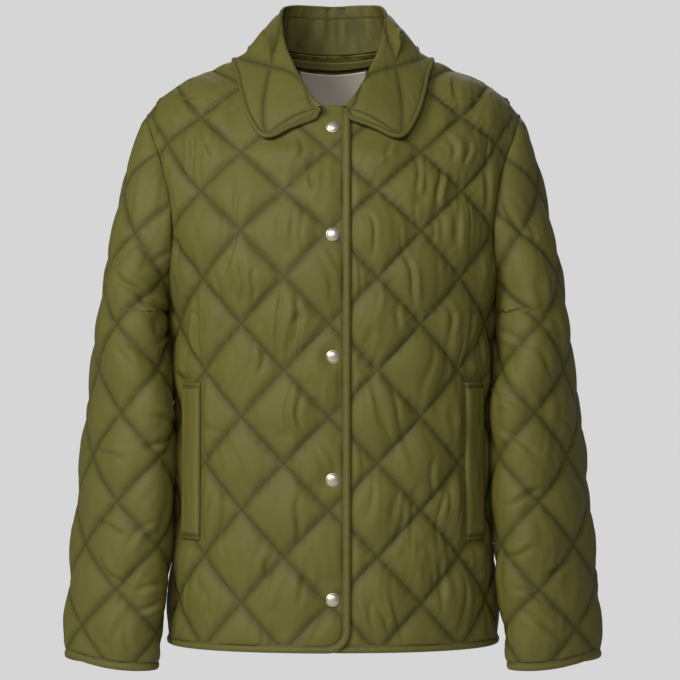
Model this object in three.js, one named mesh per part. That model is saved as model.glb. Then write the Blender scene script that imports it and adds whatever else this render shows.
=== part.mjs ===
// A quilted jacket with a turned-down collar, filled out as if worn.
// Millimetres, +Z up. The front looks towards -Y and the wearer's right is at -X.
// The origin is at the level of the neck points, on the centre line.
import * as THREE from 'three';
import { mergeVertices } from 'three/addons/utils/BufferGeometryUtils.js';

// Cloth
const WALL = 2.5;
const SEAM_GAP = 0.3;
const PUFF = 6.5;
const HALF_WIDE = 48.5; // half of a quilted diamond, across
const HALF_HIGH = 50.3; // half of a quilted diamond, up
const COLUMN_STEP = HALF_WIDE / 2;
const ROW_STEP = HALF_HIGH / 2;

// Body
const ROUNDNESS = 2.3; // of the body's rings
const RIDGE_Y = 8; // the shoulder seams lie on this line
const NECK_HALF = 75;
const SHOULDER_TIP = 209;
const SHOULDER_SLOPE = Math.tan(THREE.MathUtils.degToRad(21.5));
const NAPE_RISE = 14;
const TIP_START = 160;
const TIP_DROP = 22.2;
const CHEST_Z = -208; // the quilting's rows are counted from here
const HEM_Z = -663; // under the binding
const TIP_ROW = 6;
const CHEST_ROW_SHARE = 0.86;
const FRONT_NECK_ROW = 6.5;
const BACK_NECK_ROW = 9.8;
const UNDERARM_Z = -295;
const UNDERARM_ROW = (UNDERARM_Z - CHEST_Z) / ROW_STEP;

// Front opening
const OVERLAP = 19; // each front reaches this far past the centre
const EDGE_BINDING = 8; // round the front edges and the hem
const CORNER_RADIUS = 16;
const TOP_LIFT = 3.4;
const UNDER_SINK = 1;
const PLAIN_EDGE = 30; // no quilting nearer the front edge than this
const LIFT_FADE = 30;
const NARROWEST = 0.38; // of a column, next to a panel's end

// Sleeves
const SLEEVE_ROW_STEP = 24.3;
const SLEEVE_LEAN = 0.42; // the lower sleeve's rings are turned this much towards the front
const CUFF_Z = -689;
const CUFF_BINDING = 9;
const CUFF_RISE = 11; // the cuff's outer side is this much higher than its inner side
const RISE_START = 240; // below the underarm
const CUFF_DEPTH = UNDERARM_Z - CUFF_Z;
const FACING_PUFF = 0.3; // share of the puff left where body and sleeve face each other

// Small pieces
const SNAP_RADIUS = 7.5;
const SNAP_HIGH = 3.4;
const SNAP_LEVELS = [-96, -213, -344, -476.5, -605.5];
const WELT = { from: 156, to: 190, top: -372, foot: -545, thick: 5 };
const TAPE = { half: 54, top: 6, foot: 17, thick: 1 };
const LABEL = { half: 38, top: 22, foot: 68, thick: 1 };
const INSIDE_GAP = 1.3;
const COLLAR_BINDING = 5;

const BODY_RINGS = [
  { z: 20, halfWidth: 236, frontDepth: 120, backDepth: 92 },
  { z: -76, halfWidth: 228, frontDepth: 130, backDepth: 96 },
  { z: -110, halfWidth: 215, frontDepth: 133, backDepth: 100 },
  { z: -155, halfWidth: 203, frontDepth: 135, backDepth: 105 },
  { z: -200, halfWidth: 197, frontDepth: 137, backDepth: 107 },
  { z: -250, halfWidth: 188, frontDepth: 138, backDepth: 106 },
  { z: -295, halfWidth: 181, frontDepth: 138, backDepth: 104 },
  { z: -345, halfWidth: 176.5, frontDepth: 136, backDepth: 101 },
  { z: -410, halfWidth: 175, frontDepth: 135, backDepth: 101 },
  { z: -500, halfWidth: 176, frontDepth: 136, backDepth: 108 },
  { z: -590, halfWidth: 180, frontDepth: 138, backDepth: 119 },
  { z: -665, halfWidth: 184, frontDepth: 141, backDepth: 127 },
];

const ARMHOLE = [
  { z: -76, x: 209 },
  { z: -94, x: 203 },
  { z: -112, x: 196 },
  { z: -155, x: 182 },
  { z: -190, x: 177 },
  { z: -236, x: 177 },
  { z: -270, x: 179 },
  { z: -295, x: 181 },
];

// outerX and innerX are the ring's sides, open is the angle from its outermost point to its ends
const SLEEVE_RINGS = [
  { z: -76, outerX: 209, innerX: 190, midY: 8, halfDepth: 2, open: 90 },
  { z: -85, outerX: 215, innerX: 188, midY: 8, halfDepth: 22, open: 90 },
  { z: -102, outerX: 221, innerX: 184, midY: 8, halfDepth: 38, open: 92 },
  { z: -136, outerX: 230, innerX: 180, midY: 8, halfDepth: 54, open: 96 },
  { z: -170, outerX: 237, innerX: 178, midY: 7, halfDepth: 64, open: 102 },
  { z: -204, outerX: 244, innerX: 179, midY: 5, halfDepth: 70, open: 112 },
  { z: -237, outerX: 251, innerX: 180, midY: 3, halfDepth: 74, open: 124 },
  { z: -270, outerX: 256, innerX: 181, midY: 1, halfDepth: 75, open: 146 },
  { z: -295, outerX: 259, innerX: 182.5, midY: 0, halfDepth: 75, open: 180 },
  { z: -340, outerX: 266, innerX: 182, midY: -4, halfDepth: 76, open: 180 },
  { z: -404, outerX: 275, innerX: 177, midY: -11, halfDepth: 75, open: 180 },
  { z: -471, outerX: 282, innerX: 176.5, midY: -16, halfDepth: 71, open: 180 },
  { z: -539, outerX: 289, innerX: 179, midY: -22, halfDepth: 65, open: 180 },
  { z: -606, outerX: 294, innerX: 185, midY: -29, halfDepth: 56, open: 180 },
  { z: -656, outerX: 297, innerX: 191, midY: -34, halfDepth: 48, open: 180 },
  { z: -689, outerX: 297, innerX: 194, midY: -37, halfDepth: 43, open: 180 },
];
const SLEEVE_SHIFT = { right: 22, left: 9 }; // where the quilting starts from the sleeve's outer line

// One row for each station from the middle of the back to the front end. The outer edge stands
// proud of the body by the same amount all along, so only its place seen from the front is given.
const COLLAR_STATIONS = [
  { neckX: 0, foldX: 0, foldY: 55, foldZ: 53, edgeX: 0, edgeZ: -30 },
  { neckX: 27, foldX: 24, foldY: 52, foldZ: 53.5, edgeX: 38, edgeZ: -29 },
  { neckX: 50, foldX: 43, foldY: 42, foldZ: 52.5, edgeX: 72, edgeZ: -29 },
  { neckX: 68, foldX: 55, foldY: 24, foldZ: 48, edgeX: 95, edgeZ: -31 },
  { neckX: 75, foldX: 57, foldY: 0, foldZ: 33, edgeX: 106, edgeZ: -17 },
  { neckX: 70, foldX: 54, foldY: -24, foldZ: 10, edgeX: 101, edgeZ: -35 },
  { neckX: 61, foldX: 49, foldY: -44, foldZ: -8, edgeX: 95, edgeZ: -60 },
  { neckX: 50, foldX: 41, foldY: -64, foldZ: -26, edgeX: 87, edgeZ: -84 },
  { neckX: 38, foldX: 31, foldY: -82, foldZ: -46, edgeX: 71, edgeZ: -105 },
  { neckX: 26, foldX: 20, foldY: -95, foldZ: -63, edgeX: 45, edgeZ: -95 },
  { neckX: 14, foldX: 11, foldY: -102, foldZ: -72, edgeX: 20, edgeZ: -86 },
];
const COLLAR_PROUD = 9;
const COLLAR_PUFF = 5;
const NECK_SEAM_LIFT = 1.5;
const UNDER_COLLAR = { x: 104, frontZ: -104, backZ: -36, puff: 0.15 };
const COLLAR_ROLL = 3;

const COLOURS = {
  rightFront: 0x67633a,
  leftFront: 0x5a552c,
  backPanel: 0x5e5930,
  sleeve: 0x5a552d,
  collar: 0x605c2e,
  binding: 0x6b6638,
  inside: 0x3f3b1a,
  snap: 0xd8cba4,
  label: 0xc4bca8,
};

const FRONT = { sign: -1, depth: 'frontDepth', kneeZ: -250, profile: 1.75 };
const BACK = { sign: 1, depth: 'backDepth', kneeZ: -230, profile: 2.8 };

const clamp = THREE.MathUtils.clamp;
const lerp = THREE.MathUtils.lerp;
const point = (x, y, z) => new THREE.Vector3(x, y, z);

function smoothstep(value, from, to) {
  const t = clamp((value - from) / (to - from), 0, 1);
  return t * t * (3 - 2 * t);
}

function bisect(isBefore, low, high) {
  for (let step = 0; step < 34; step++) {
    const middle = (low + high) / 2;
    if (isBefore(middle)) low = middle;
    else high = middle;
  }
  return (low + high) / 2;
}

// A column of a table that falls in z, on a smooth curve through its rows
function along(table, column, z) {
  let i = table.findIndex((row) => row.z <= z);
  if (i === 0) return table[0][column];
  if (i < 0) return table.at(-1)[column];
  const [before, from, to, after] = [i - 2, i - 1, i, i + 1].map(
    (n) => table[clamp(n, 0, table.length - 1)],
  );
  const slope = (a, b) => (b[column] - a[column]) / (b.z - a.z);
  const span = to.z - from.z;
  const t = (z - from.z) / span;
  const startSlope = slope(before, to) * span;
  const endSlope = slope(from, after) * span;
  return (
    from[column] * (2 * t ** 3 - 3 * t ** 2 + 1) +
    startSlope * (t ** 3 - 2 * t ** 2 + t) +
    to[column] * (3 * t ** 2 - 2 * t ** 3) +
    endSlope * (t ** 3 - t ** 2)
  );
}

// Height of the shoulder line at a distance from the centre
function ridgeZ(x) {
  const reach = Math.abs(x);
  if (reach < NECK_HALF) return NAPE_RISE * (1 - (reach / NECK_HALF) ** 2);
  const past = Math.max(0, reach - TIP_START) / (SHOULDER_TIP - TIP_START);
  return -(reach - NECK_HALF) * SHOULDER_SLOPE - TIP_DROP * past ** 2;
}

function bodyDepth(side, x, z) {
  const across = Math.abs(x) / along(BODY_RINGS, 'halfWidth', z);
  if (across >= 1) return 0;
  return along(BODY_RINGS, side.depth, z) * (1 - across ** ROUNDNESS) ** (1 / ROUNDNESS);
}

// A point of the column at x, where angle 0 is the chest and a right angle the shoulder line
function columnPoint(side, x, angle) {
  const rise = Math.sin(angle) ** (2 / side.profile);
  const reach = Math.max(0, Math.cos(angle)) ** (2 / side.profile);
  const z = side.kneeZ + (ridgeZ(x) - side.kneeZ) * rise;
  const deep = bodyDepth(side, x, z) - side.sign * RIDGE_Y;
  return point(x, RIDGE_Y + side.sign * deep * reach, z);
}

function columnAngle(side, x, z) {
  const rise = clamp((z - side.kneeZ) / (ridgeZ(x) - side.kneeZ), 0, 1);
  return Math.asin(rise ** (side.profile / 2));
}

function bodyPoint(side, x, z) {
  if (z <= side.kneeZ) return point(x, side.sign * bodyDepth(side, x, z), z);
  return columnPoint(side, x, columnAngle(side, x, z));
}

function ringNormal(side, p) {
  const level = (x, y, z) =>
    (Math.abs(x) / along(BODY_RINGS, 'halfWidth', z)) ** ROUNDNESS +
    (Math.abs(y) / along(BODY_RINGS, side.depth, z)) ** ROUNDNESS;
  const d = 0.5;
  return point(
    level(p.x + d, p.y, p.z) - level(p.x - d, p.y, p.z),
    level(p.x, p.y + d, p.z) - level(p.x, p.y - d, p.z),
    level(p.x, p.y, p.z + d) - level(p.x, p.y, p.z - d),
  ).normalize();
}

function bodyNormal(side, p) {
  if (p.z <= side.kneeZ) return ringNormal(side, p);
  const angle = columnAngle(side, p.x, p.z);
  const d = 0.02;
  const up = columnPoint(side, p.x, Math.min(angle + d, Math.PI / 2));
  up.sub(columnPoint(side, p.x, Math.max(angle - d, 0)));
  const out = columnPoint(side, p.x + 1, angle).sub(columnPoint(side, p.x - 1, angle));
  return out.cross(up).multiplyScalar(-side.sign).normalize();
}

// Cloth distance up each column from the chest row, kept because rows ask for it often
const columnTables = new Map();
function columnTable(side, x) {
  const key = side.sign + '_' + x.toFixed(3);
  if (columnTables.has(key)) return columnTables.get(key);
  const start = columnAngle(side, x, CHEST_Z);
  const steps = 60;
  const table = [{ length: 0, at: columnPoint(side, x, start) }];
  for (let step = 1; step <= steps; step++) {
    const at = columnPoint(side, x, lerp(start, Math.PI / 2, step / steps));
    const last = table.at(-1);
    table.push({ length: last.length + at.distanceTo(last.at), at });
  }
  columnTables.set(key, table);
  return table;
}
const columnLength = (side, x) => columnTable(side, x).at(-1).length;

// The stitched rows lie closer together over the slope of the chest than at the armhole
const rowShare = (x) => lerp(CHEST_ROW_SHARE, 1, smoothstep(Math.abs(x), 150, 205));
const rowsUp = (x) =>
  (TIP_ROW * columnLength(FRONT, x)) / columnLength(FRONT, SHOULDER_TIP) / rowShare(x);
const shoulderX = (row) => bisect((x) => rowsUp(x) > row, NECK_HALF - 1, SHOULDER_TIP);
const NECK_POINT_ROW = rowsUp(NECK_HALF);

const rowLengths = new Map();
function rowLength(side, row) {
  const key = side.sign + '_' + row;
  if (!rowLengths.has(key)) {
    const evenly = (row * columnLength(side, SHOULDER_TIP)) / TIP_ROW;
    const seamX = shoulderX(row);
    const meeting = columnLength(side, seamX) / rowShare(seamX);
    rowLengths.set(key, row <= TIP_ROW ? evenly : meeting);
  }
  return rowLengths.get(key);
}

function rowPoint(side, x, row) {
  if (row <= 0) return bodyPoint(side, x, CHEST_Z + row * ROW_STEP);
  const wanted = rowLength(side, row) * rowShare(x);
  const table = columnTable(side, x);
  const i = table.findIndex((entry) => entry.length >= wanted);
  if (i < 0) return table.at(-1).at.clone();
  const [from, to] = [table[i - 1], table[i]];
  const part = (wanted - from.length) / (to.length - from.length);
  return from.at.clone().lerp(to.at, part);
}

// The end of a row: at the side seam, the armhole or the shoulder seam
const rowEnds = new Map();
function rowEnd(side, row) {
  const key = side.sign + '_' + row;
  if (!rowEnds.has(key)) {
    let end;
    if (row <= UNDERARM_ROW) end = along(BODY_RINGS, 'halfWidth', CHEST_Z + row * ROW_STEP);
    else if (row >= TIP_ROW) end = shoulderX(row);
    else {
      const inPanel = (x) => x < along(ARMHOLE, 'x', rowPoint(side, x, row).z);
      end = bisect(inPanel, NECK_HALF, SHOULDER_TIP + 4);
    }
    rowEnds.set(key, end);
  }
  return rowEnds.get(key);
}

const frontNeckZ = rowPoint(FRONT, 0, FRONT_NECK_ROW).z;
const backNeckY = rowPoint(BACK, 0, BACK_NECK_ROW).y;

function outsideNeck(side, p) {
  const across = (Math.max(0, p.x) / NECK_HALF) ** 2;
  const off = side === FRONT ? p.z / frontNeckZ : (p.y - RIDGE_Y) / (backNeckY - RIDGE_Y);
  return across + Math.max(0, off) ** 2 >= 1 - 1e-9;
}

// Places along a row, with the cloth distance s from the centre line
function traceRow(side, row, startX) {
  const end = rowEnd(side, row);
  const steps = 90;
  const trace = [];
  for (let step = 0; step <= steps; step++) {
    const x = startX + (end - startX) * Math.sin((Math.PI / 2) * (step / steps));
    trace.push({ s: 0, at: rowPoint(side, x, row) });
  }
  for (let i = 1; i < trace.length; i++)
    trace[i].s = trace[i - 1].s + trace[i].at.distanceTo(trace[i - 1].at);
  const centre = startX < 0 ? -startX : 0;
  for (const place of trace) place.s -= centre;
  return trace;
}

function placeAt(trace, s) {
  const i = clamp(
    trace.findIndex((place) => place.s >= s),
    1,
    trace.length - 1,
  );
  const [from, to] = [trace[i - 1], trace[i]];
  return from.at.clone().lerp(to.at, clamp((s - from.s) / (to.s - from.s), 0, 1));
}

// Height of the quilted puff, from 0 on the stitched lines to 1 in the middle of a diamond
function puff(s, row) {
  const column = s / HALF_WIDE;
  const level = (row * ROW_STEP) / HALF_HIGH;
  const one = Math.abs(Math.sin((Math.PI * (column + level)) / 2));
  const other = Math.abs(Math.sin((Math.PI * (column - level)) / 2));
  return Math.sqrt(one * other);
}

class Sheet {
  constructor() {
    this.nodes = [];
    this.triangles = [];
  }

  add(node) {
    this.nodes.push(node);
    return this.nodes.length - 1;
  }

  // Joins two rows of nodes, so that the stitched lines lie on the edges of triangles
  join(lower, upper, shift = 0) {
    const cost = (a, b) => {
      const [one, other] = [this.nodes[a], this.nodes[b]];
      const height = (part) =>
        puff(lerp(one.s, other.s, part) - shift, lerp(one.row, other.row, part));
      return Math.abs(one.s - other.s) + 0.5 * COLUMN_STEP * (height(0.25) + height(0.75));
    };
    let i = 0;
    let j = 0;
    while (i < lower.length - 1 || j < upper.length - 1) {
      const canLower = i < lower.length - 1;
      const canUpper = j < upper.length - 1;
      const takeLower =
        canLower &&
        (!canUpper || cost(lower[i + 1], upper[j]) <= cost(lower[i], upper[j + 1]) + 1e-6);
      const corners = takeLower
        ? [lower[i], lower[i + 1], upper[j]]
        : [lower[i], upper[j + 1], upper[j]];
      if (new Set(corners).size === 3) this.triangles.push(corners);
      if (takeLower) i++;
      else j++;
    }
  }

  // Adds the other half of a sheet whose middle nodes are marked
  mirror() {
    const twin = this.nodes.map((node, i) => {
      if (node.middle) return i;
      const copy = { ...node, at: node.at.clone(), out: node.out.clone() };
      copy.at.x *= -1;
      copy.out.x *= -1;
      return this.add(copy);
    });
    const half = this.triangles.length;
    for (let i = 0; i < half; i++)
      this.triangles.push(this.triangles[i].map((n) => twin[n]).reverse());
    return this;
  }

  // A wall: raised outer points over a plain inside, closed along every free edge
  wall(sideways = 1, thickness = WALL) {
    const count = this.nodes.length;
    const positions = [];
    for (const layer of ['outer', 'inner'])
      for (const node of this.nodes) {
        const off = layer === 'outer' ? node.raise : -thickness;
        const p = node.at.clone().addScaledVector(node.out, off);
        positions.push(p.x * sideways, p.y, p.z);
      }
    const edges = new Set(
      this.triangles.flatMap(([a, b, c]) => [a + '_' + b, b + '_' + c, c + '_' + a]),
    );
    const faces = [];
    for (const [a, b, c] of this.triangles) {
      faces.push([a, b, c], [c + count, b + count, a + count]);
      for (const [from, to] of [
        [a, b],
        [b, c],
        [c, a],
      ])
        if (!edges.has(to + '_' + from))
          faces.push([to, from, from + count], [to, from + count, to + count]);
    }
    return closedGeometry(positions, faces);
  }
}

function closedGeometry(positions, faces) {
  let volume = 0;
  const corner = (n) => point(positions[3 * n], positions[3 * n + 1], positions[3 * n + 2]);
  for (const face of faces) {
    const [a, b, c] = face.map(corner);
    volume += a.dot(b.cross(c)) / 6;
  }
  const outward = volume < 0 ? faces.map((face) => [...face].reverse()) : faces;
  const geometry = new THREE.BufferGeometry();
  geometry.setAttribute('position', new THREE.Float32BufferAttribute(positions, 3));
  geometry.setIndex(outward.flat());
  geometry.computeVertexNormals();
  return geometry;
}

// A strip of one section, led along stations that each have a place and two directions
function stripGeometry(stations, section, closed = false, sideways = 1) {
  const positions = [];
  for (const station of stations)
    for (const [across, off] of section) {
      const p = station.at.clone();
      p.addScaledVector(station.across, across).addScaledVector(station.out, off);
      positions.push(p.x * sideways, p.y, p.z);
    }
  const sides = section.length;
  const faces = [];
  const last = closed ? stations.length : stations.length - 1;
  for (let i = 0; i < last; i++)
    for (let j = 0; j < sides; j++) {
      const next = ((i + 1) % stations.length) * sides;
      const [a, b] = [i * sides + j, i * sides + ((j + 1) % sides)];
      const [c, d] = [next + j, next + ((j + 1) % sides)];
      faces.push([a, b, d], [a, d, c]);
    }
  if (!closed)
    for (let j = 1; j < sides - 1; j++) {
      const end = (stations.length - 1) * sides;
      faces.push([0, j + 1, j], [end, end + j, end + j + 1]);
    }
  return closedGeometry(positions, faces);
}

// The section of a folded binding, from the cloth's edge outwards
function bindingSection(width, gap) {
  const inner = -WALL - 0.5;
  return [
    [gap, inner],
    [width - 1.2, inner],
    [width, inner + 1.3],
    [width, -0.3],
    [width - 1.2, 0.9],
    [gap, 0.9],
  ];
}

// Stations on a chain of nodes, facing away from a place that the cloth lies on
function bindingStations(nodes, clothAt, closed = false) {
  const count = nodes.length;
  return nodes.map((node, i) => {
    const before = closed ? nodes[(i - 1 + count) % count] : nodes[Math.max(0, i - 1)];
    const after = closed ? nodes[(i + 1) % count] : nodes[Math.min(count - 1, i + 1)];
    const run = after.at.clone().sub(before.at).normalize();
    const across = run.cross(node.out).normalize();
    if (across.dot(clothAt(node).clone().sub(node.at)) > 0) across.negate();
    return { at: node.at, out: node.out, across };
  });
}

// The rows of the body's panels, from the hem up
const HEM_ROW = (HEM_Z + EDGE_BINDING - CHEST_Z) / ROW_STEP;
const cornerRows = [90, 45, 0].map(
  (angle) => HEM_ROW + (CORNER_RADIUS * (1 - Math.sin(THREE.MathUtils.degToRad(angle)))) / ROW_STEP,
);
const lowerRows = [];
for (let row = Math.ceil(cornerRows[2] + 0.3); row < UNDERARM_ROW; row++) lowerRows.push(row);
const armholeRows = [UNDERARM_ROW, -3, -2, -1, 0, 1, 2, 3, 4, 5, TIP_ROW];
const shoulderRows = [FRONT_NECK_ROW];
for (let row = TIP_ROW + 1; row < NECK_POINT_ROW - 0.3; row++) shoulderRows.push(row);
const bodyRows = [...cornerRows, ...lowerRows, ...armholeRows, ...shoulderRows, NECK_POINT_ROW];

// How far in the panel's front edge starts on a row, with the round lower corner
function frontEdge(row) {
  const edge = -(OVERLAP - EDGE_BINDING);
  const up = (row - HEM_ROW) * ROW_STEP;
  if (up >= CORNER_RADIUS) return edge;
  return edge + CORNER_RADIUS - Math.sqrt(CORNER_RADIUS ** 2 - (CORNER_RADIUS - up) ** 2);
}

// Cloth distances of a row's nodes: its two ends, and the quilting's columns between them
function columnsBetween(from, to, shift) {
  const margin = NARROWEST * COLUMN_STEP;
  const columns = [from];
  const first = Math.ceil((from + margin - shift) / COLUMN_STEP);
  for (let n = first; n * COLUMN_STEP + shift < to - margin; n++)
    columns.push(n * COLUMN_STEP + shift);
  if (to - from > 1e-6) columns.push(to);
  return columns;
}

// Half of the body's cloth on one side: the panel's nodes and its rows
function bodySheet(side, { shift, startX, raiseAt, offsetAt }) {
  const sheet = new Sheet();
  sheet.rows = [];
  for (const row of bodyRows) {
    const start = side === FRONT ? frontEdge(row) : 0;
    let trace = traceRow(side, row, startX(start));
    if (row >= NECK_POINT_ROW) trace = [trace.at(-1)];
    const cut = trace.findIndex((place) => outsideNeck(side, place.at));
    if (cut > 0) {
      const from = trace[cut - 1];
      const to = trace[cut];
      const part = bisect(
        (t) => !outsideNeck(side, from.at.clone().lerp(to.at, t)),
        0,
        1,
      );
      trace = [
        { s: lerp(from.s, to.s, part), at: from.at.clone().lerp(to.at, part) },
        ...trace.slice(cut),
      ];
    }
    const [from, to] = [trace[0].s, trace.at(-1).s];
    const gap = row < NECK_POINT_ROW ? SEAM_GAP / 2 : 0;
    const columns = trace.length > 1 ? columnsBetween(from, to - gap, shift) : [from];
    const indices = columns.map((s, i) => {
      const at = trace.length > 1 ? placeAt(trace, s) : trace[0].at.clone();
      const out = bodyNormal(side, at);
      at.addScaledVector(out, offsetAt(s));
      if (trace.length === 1) at.y += (side.sign * SEAM_GAP) / 2;
      const edge = i === 0 ? cut !== 0 || side === FRONT : i === columns.length - 1;
      const middle = side === BACK && i === 0 && Math.abs(at.x) < 1e-6;
      if (middle) at.x = 0;
      if (middle) out.x = 0;
      const onEdge = (edge && !middle) || row === bodyRows[0] || row >= NECK_POINT_ROW;
      const raise = onEdge ? 0 : raiseAt(s, row, at);
      return sheet.add({ s, row, at, out: out.normalize(), raise, middle });
    });
    if (sheet.rows.length) sheet.join(sheet.rows.at(-1), indices, shift);
    sheet.rows.push(indices);
  }
  return sheet;
}

// Less puff at the body's sides, where the sleeves lie against them, and none at the underarm
const facingPuff = (z) => FACING_PUFF * smoothstep(UNDERARM_Z - z, ROW_STEP, 3 * ROW_STEP);

// Pressed flat under the collar
function collarShare(at) {
  const level = at.y < RIDGE_Y ? UNDER_COLLAR.frontZ : UNDER_COLLAR.backZ;
  const across = smoothstep(Math.abs(at.x), UNDER_COLLAR.x, UNDER_COLLAR.x + COLUMN_STEP);
  const down = smoothstep(level - at.z, 0, ROW_STEP);
  return lerp(UNDER_COLLAR.puff, 1, Math.max(across, down));
}

const BODY_SIDE = [158, 172];
function sideShare(at) {
  if (at.z > UNDERARM_Z + 2 * ROW_STEP) return 1;
  return lerp(1, facingPuff(at.z), smoothstep(Math.abs(at.x), ...BODY_SIDE));
}

const underWelt = (s, z) =>
  s > WELT.from - COLUMN_STEP &&
  s < WELT.to + COLUMN_STEP &&
  z < WELT.top + ROW_STEP &&
  z > WELT.foot - ROW_STEP;

const RIGHT_SHIFT = 4.5; // the top front's quilting lies this much further out
function frontSheet(shift, lift) {
  return bodySheet(FRONT, {
    shift,
    startX: (start) => start,
    offsetAt: (s) => lift * (1 - smoothstep(s, PLAIN_EDGE, PLAIN_EDGE + LIFT_FADE)),
    raiseAt: (s, row, at) =>
      s < PLAIN_EDGE || underWelt(s, at.z)
        ? 0
        : PUFF * puff(s - shift, row) * sideShare(at) * collarShare(at),
  });
}
const rightFront = frontSheet(RIGHT_SHIFT, TOP_LIFT);
const leftFront = frontSheet(0, -UNDER_SINK);
const backHalf = bodySheet(BACK, {
  shift: 0,
  startX: () => 0,
  offsetAt: () => 0,
  raiseAt: (s, row, at) => PUFF * puff(s, row) * sideShare(at) * collarShare(at),
});

// Sleeves: a ring at every level, whose ends follow the armhole above the underarm
const armholePoint = (side, row) => rowPoint(side, rowEnd(side, row), row);

function sleeveZ(row) {
  if (row <= UNDERARM_ROW) return UNDERARM_Z + (row - UNDERARM_ROW) * SLEEVE_ROW_STEP;
  return null;
}

function sleevePoint(row, angle) {
  let ends = null;
  let z = sleeveZ(row);
  if (z === null) {
    ends = [armholePoint(FRONT, row), armholePoint(BACK, row)];
    z = (ends[0].z + ends[1].z) / 2;
  }
  const ring = Object.fromEntries(
    ['outerX', 'innerX', 'midY', 'halfDepth'].map((name) => [name, along(SLEEVE_RINGS, name, z)]),
  );
  const centreX = (ring.outerX + ring.innerX) / 2;
  const reach = (ring.outerX - ring.innerX) / 2;
  const lean = reach * SLEEVE_LEAN * smoothstep(UNDERARM_Z - z, 0, 100);
  const halfWidth = Math.sqrt(reach ** 2 - lean ** 2);
  const rise = CUFF_RISE * smoothstep(UNDERARM_Z - z, RISE_START, CUFF_DEPTH);
  const on = (turn) =>
    point(
      centreX + halfWidth * Math.cos(turn) - lean * Math.sin(turn),
      ring.midY - ring.halfDepth * Math.sin(turn),
      z + rise * ((1 + Math.cos(turn)) / 2) ** 4,
    );
  const at = on(angle);
  if (!ends) return at;
  const open = openAngle(row);
  const share = clamp(Math.abs(angle) / open, 0, 1.2) ** 2.5;
  const end = angle > 0 ? ends[0] : ends[1];
  return at.addScaledVector(end.clone().sub(on(Math.sign(angle) * open)), share);
}

function openAngle(row) {
  if (row <= UNDERARM_ROW) return Math.PI;
  const z = (armholePoint(FRONT, row).z + armholePoint(BACK, row).z) / 2;
  return THREE.MathUtils.degToRad(Math.min(180, along(SLEEVE_RINGS, 'open', z)));
}

const MIDDLE_SHARES = [0, Math.PI / 2, -Math.PI / 2]; // angles whose places surround the sleeve's middle
function sleeveNormal(row, angle) {
  const turn = 0.03;
  const open = openAngle(row);
  const closed = row <= UNDERARM_ROW;
  const high = closed ? angle + turn : Math.min(angle + turn, open);
  const low = closed ? angle - turn : Math.max(angle - turn, -open);
  const round = sleevePoint(row, high).sub(sleevePoint(row, low));
  const up = sleevePoint(Math.min(row + 0.1, TIP_ROW), angle);
  up.sub(sleevePoint(row - 0.1, angle));
  const out = round.cross(up).normalize();
  const middle = new THREE.Vector3();
  for (const share of MIDDLE_SHARES) middle.addScaledVector(sleevePoint(row, share), 1 / 3);
  if (out.dot(sleevePoint(row, angle).sub(middle)) < 0) out.negate();
  return out;
}

// Where body and sleeve bend over a seam, both walls end on the same slanting face
function seamNormal(own, other) {
  const both = own.clone().add(other);
  const share = smoothstep(both.length(), 0.7, 1.4);
  return own.clone().lerp(both.normalize(), share).normalize();
}

const CUFF_ROW = UNDERARM_ROW + (CUFF_Z + CUFF_BINDING - UNDERARM_Z) / SLEEVE_ROW_STEP;
const sleeveRows = [CUFF_ROW];
for (let row = Math.ceil(CUFF_ROW + 0.3); row < UNDERARM_ROW; row++) sleeveRows.push(row);
sleeveRows.push(...armholeRows);

function traceSleeve(row) {
  const open = openAngle(row);
  const steps = 120;
  const trace = [];
  for (let step = 0; step <= steps; step++) {
    const angle = lerp(open, -open, step / steps);
    trace.push({ s: 0, angle, at: sleevePoint(row, angle) });
  }
  for (let i = 1; i < trace.length; i++)
    trace[i].s = trace[i - 1].s + trace[i].at.distanceTo(trace[i - 1].at);
  const top = trace[steps / 2].s;
  for (const place of trace) place.s = top - place.s;
  return trace.reverse();
}

function angleAt(trace, s) {
  const i = clamp(
    trace.findIndex((place) => place.s >= s),
    1,
    trace.length - 1,
  );
  const [from, to] = [trace[i - 1], trace[i]];
  return lerp(from.angle, to.angle, clamp((s - from.s) / (to.s - from.s), 0, 1));
}

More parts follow.
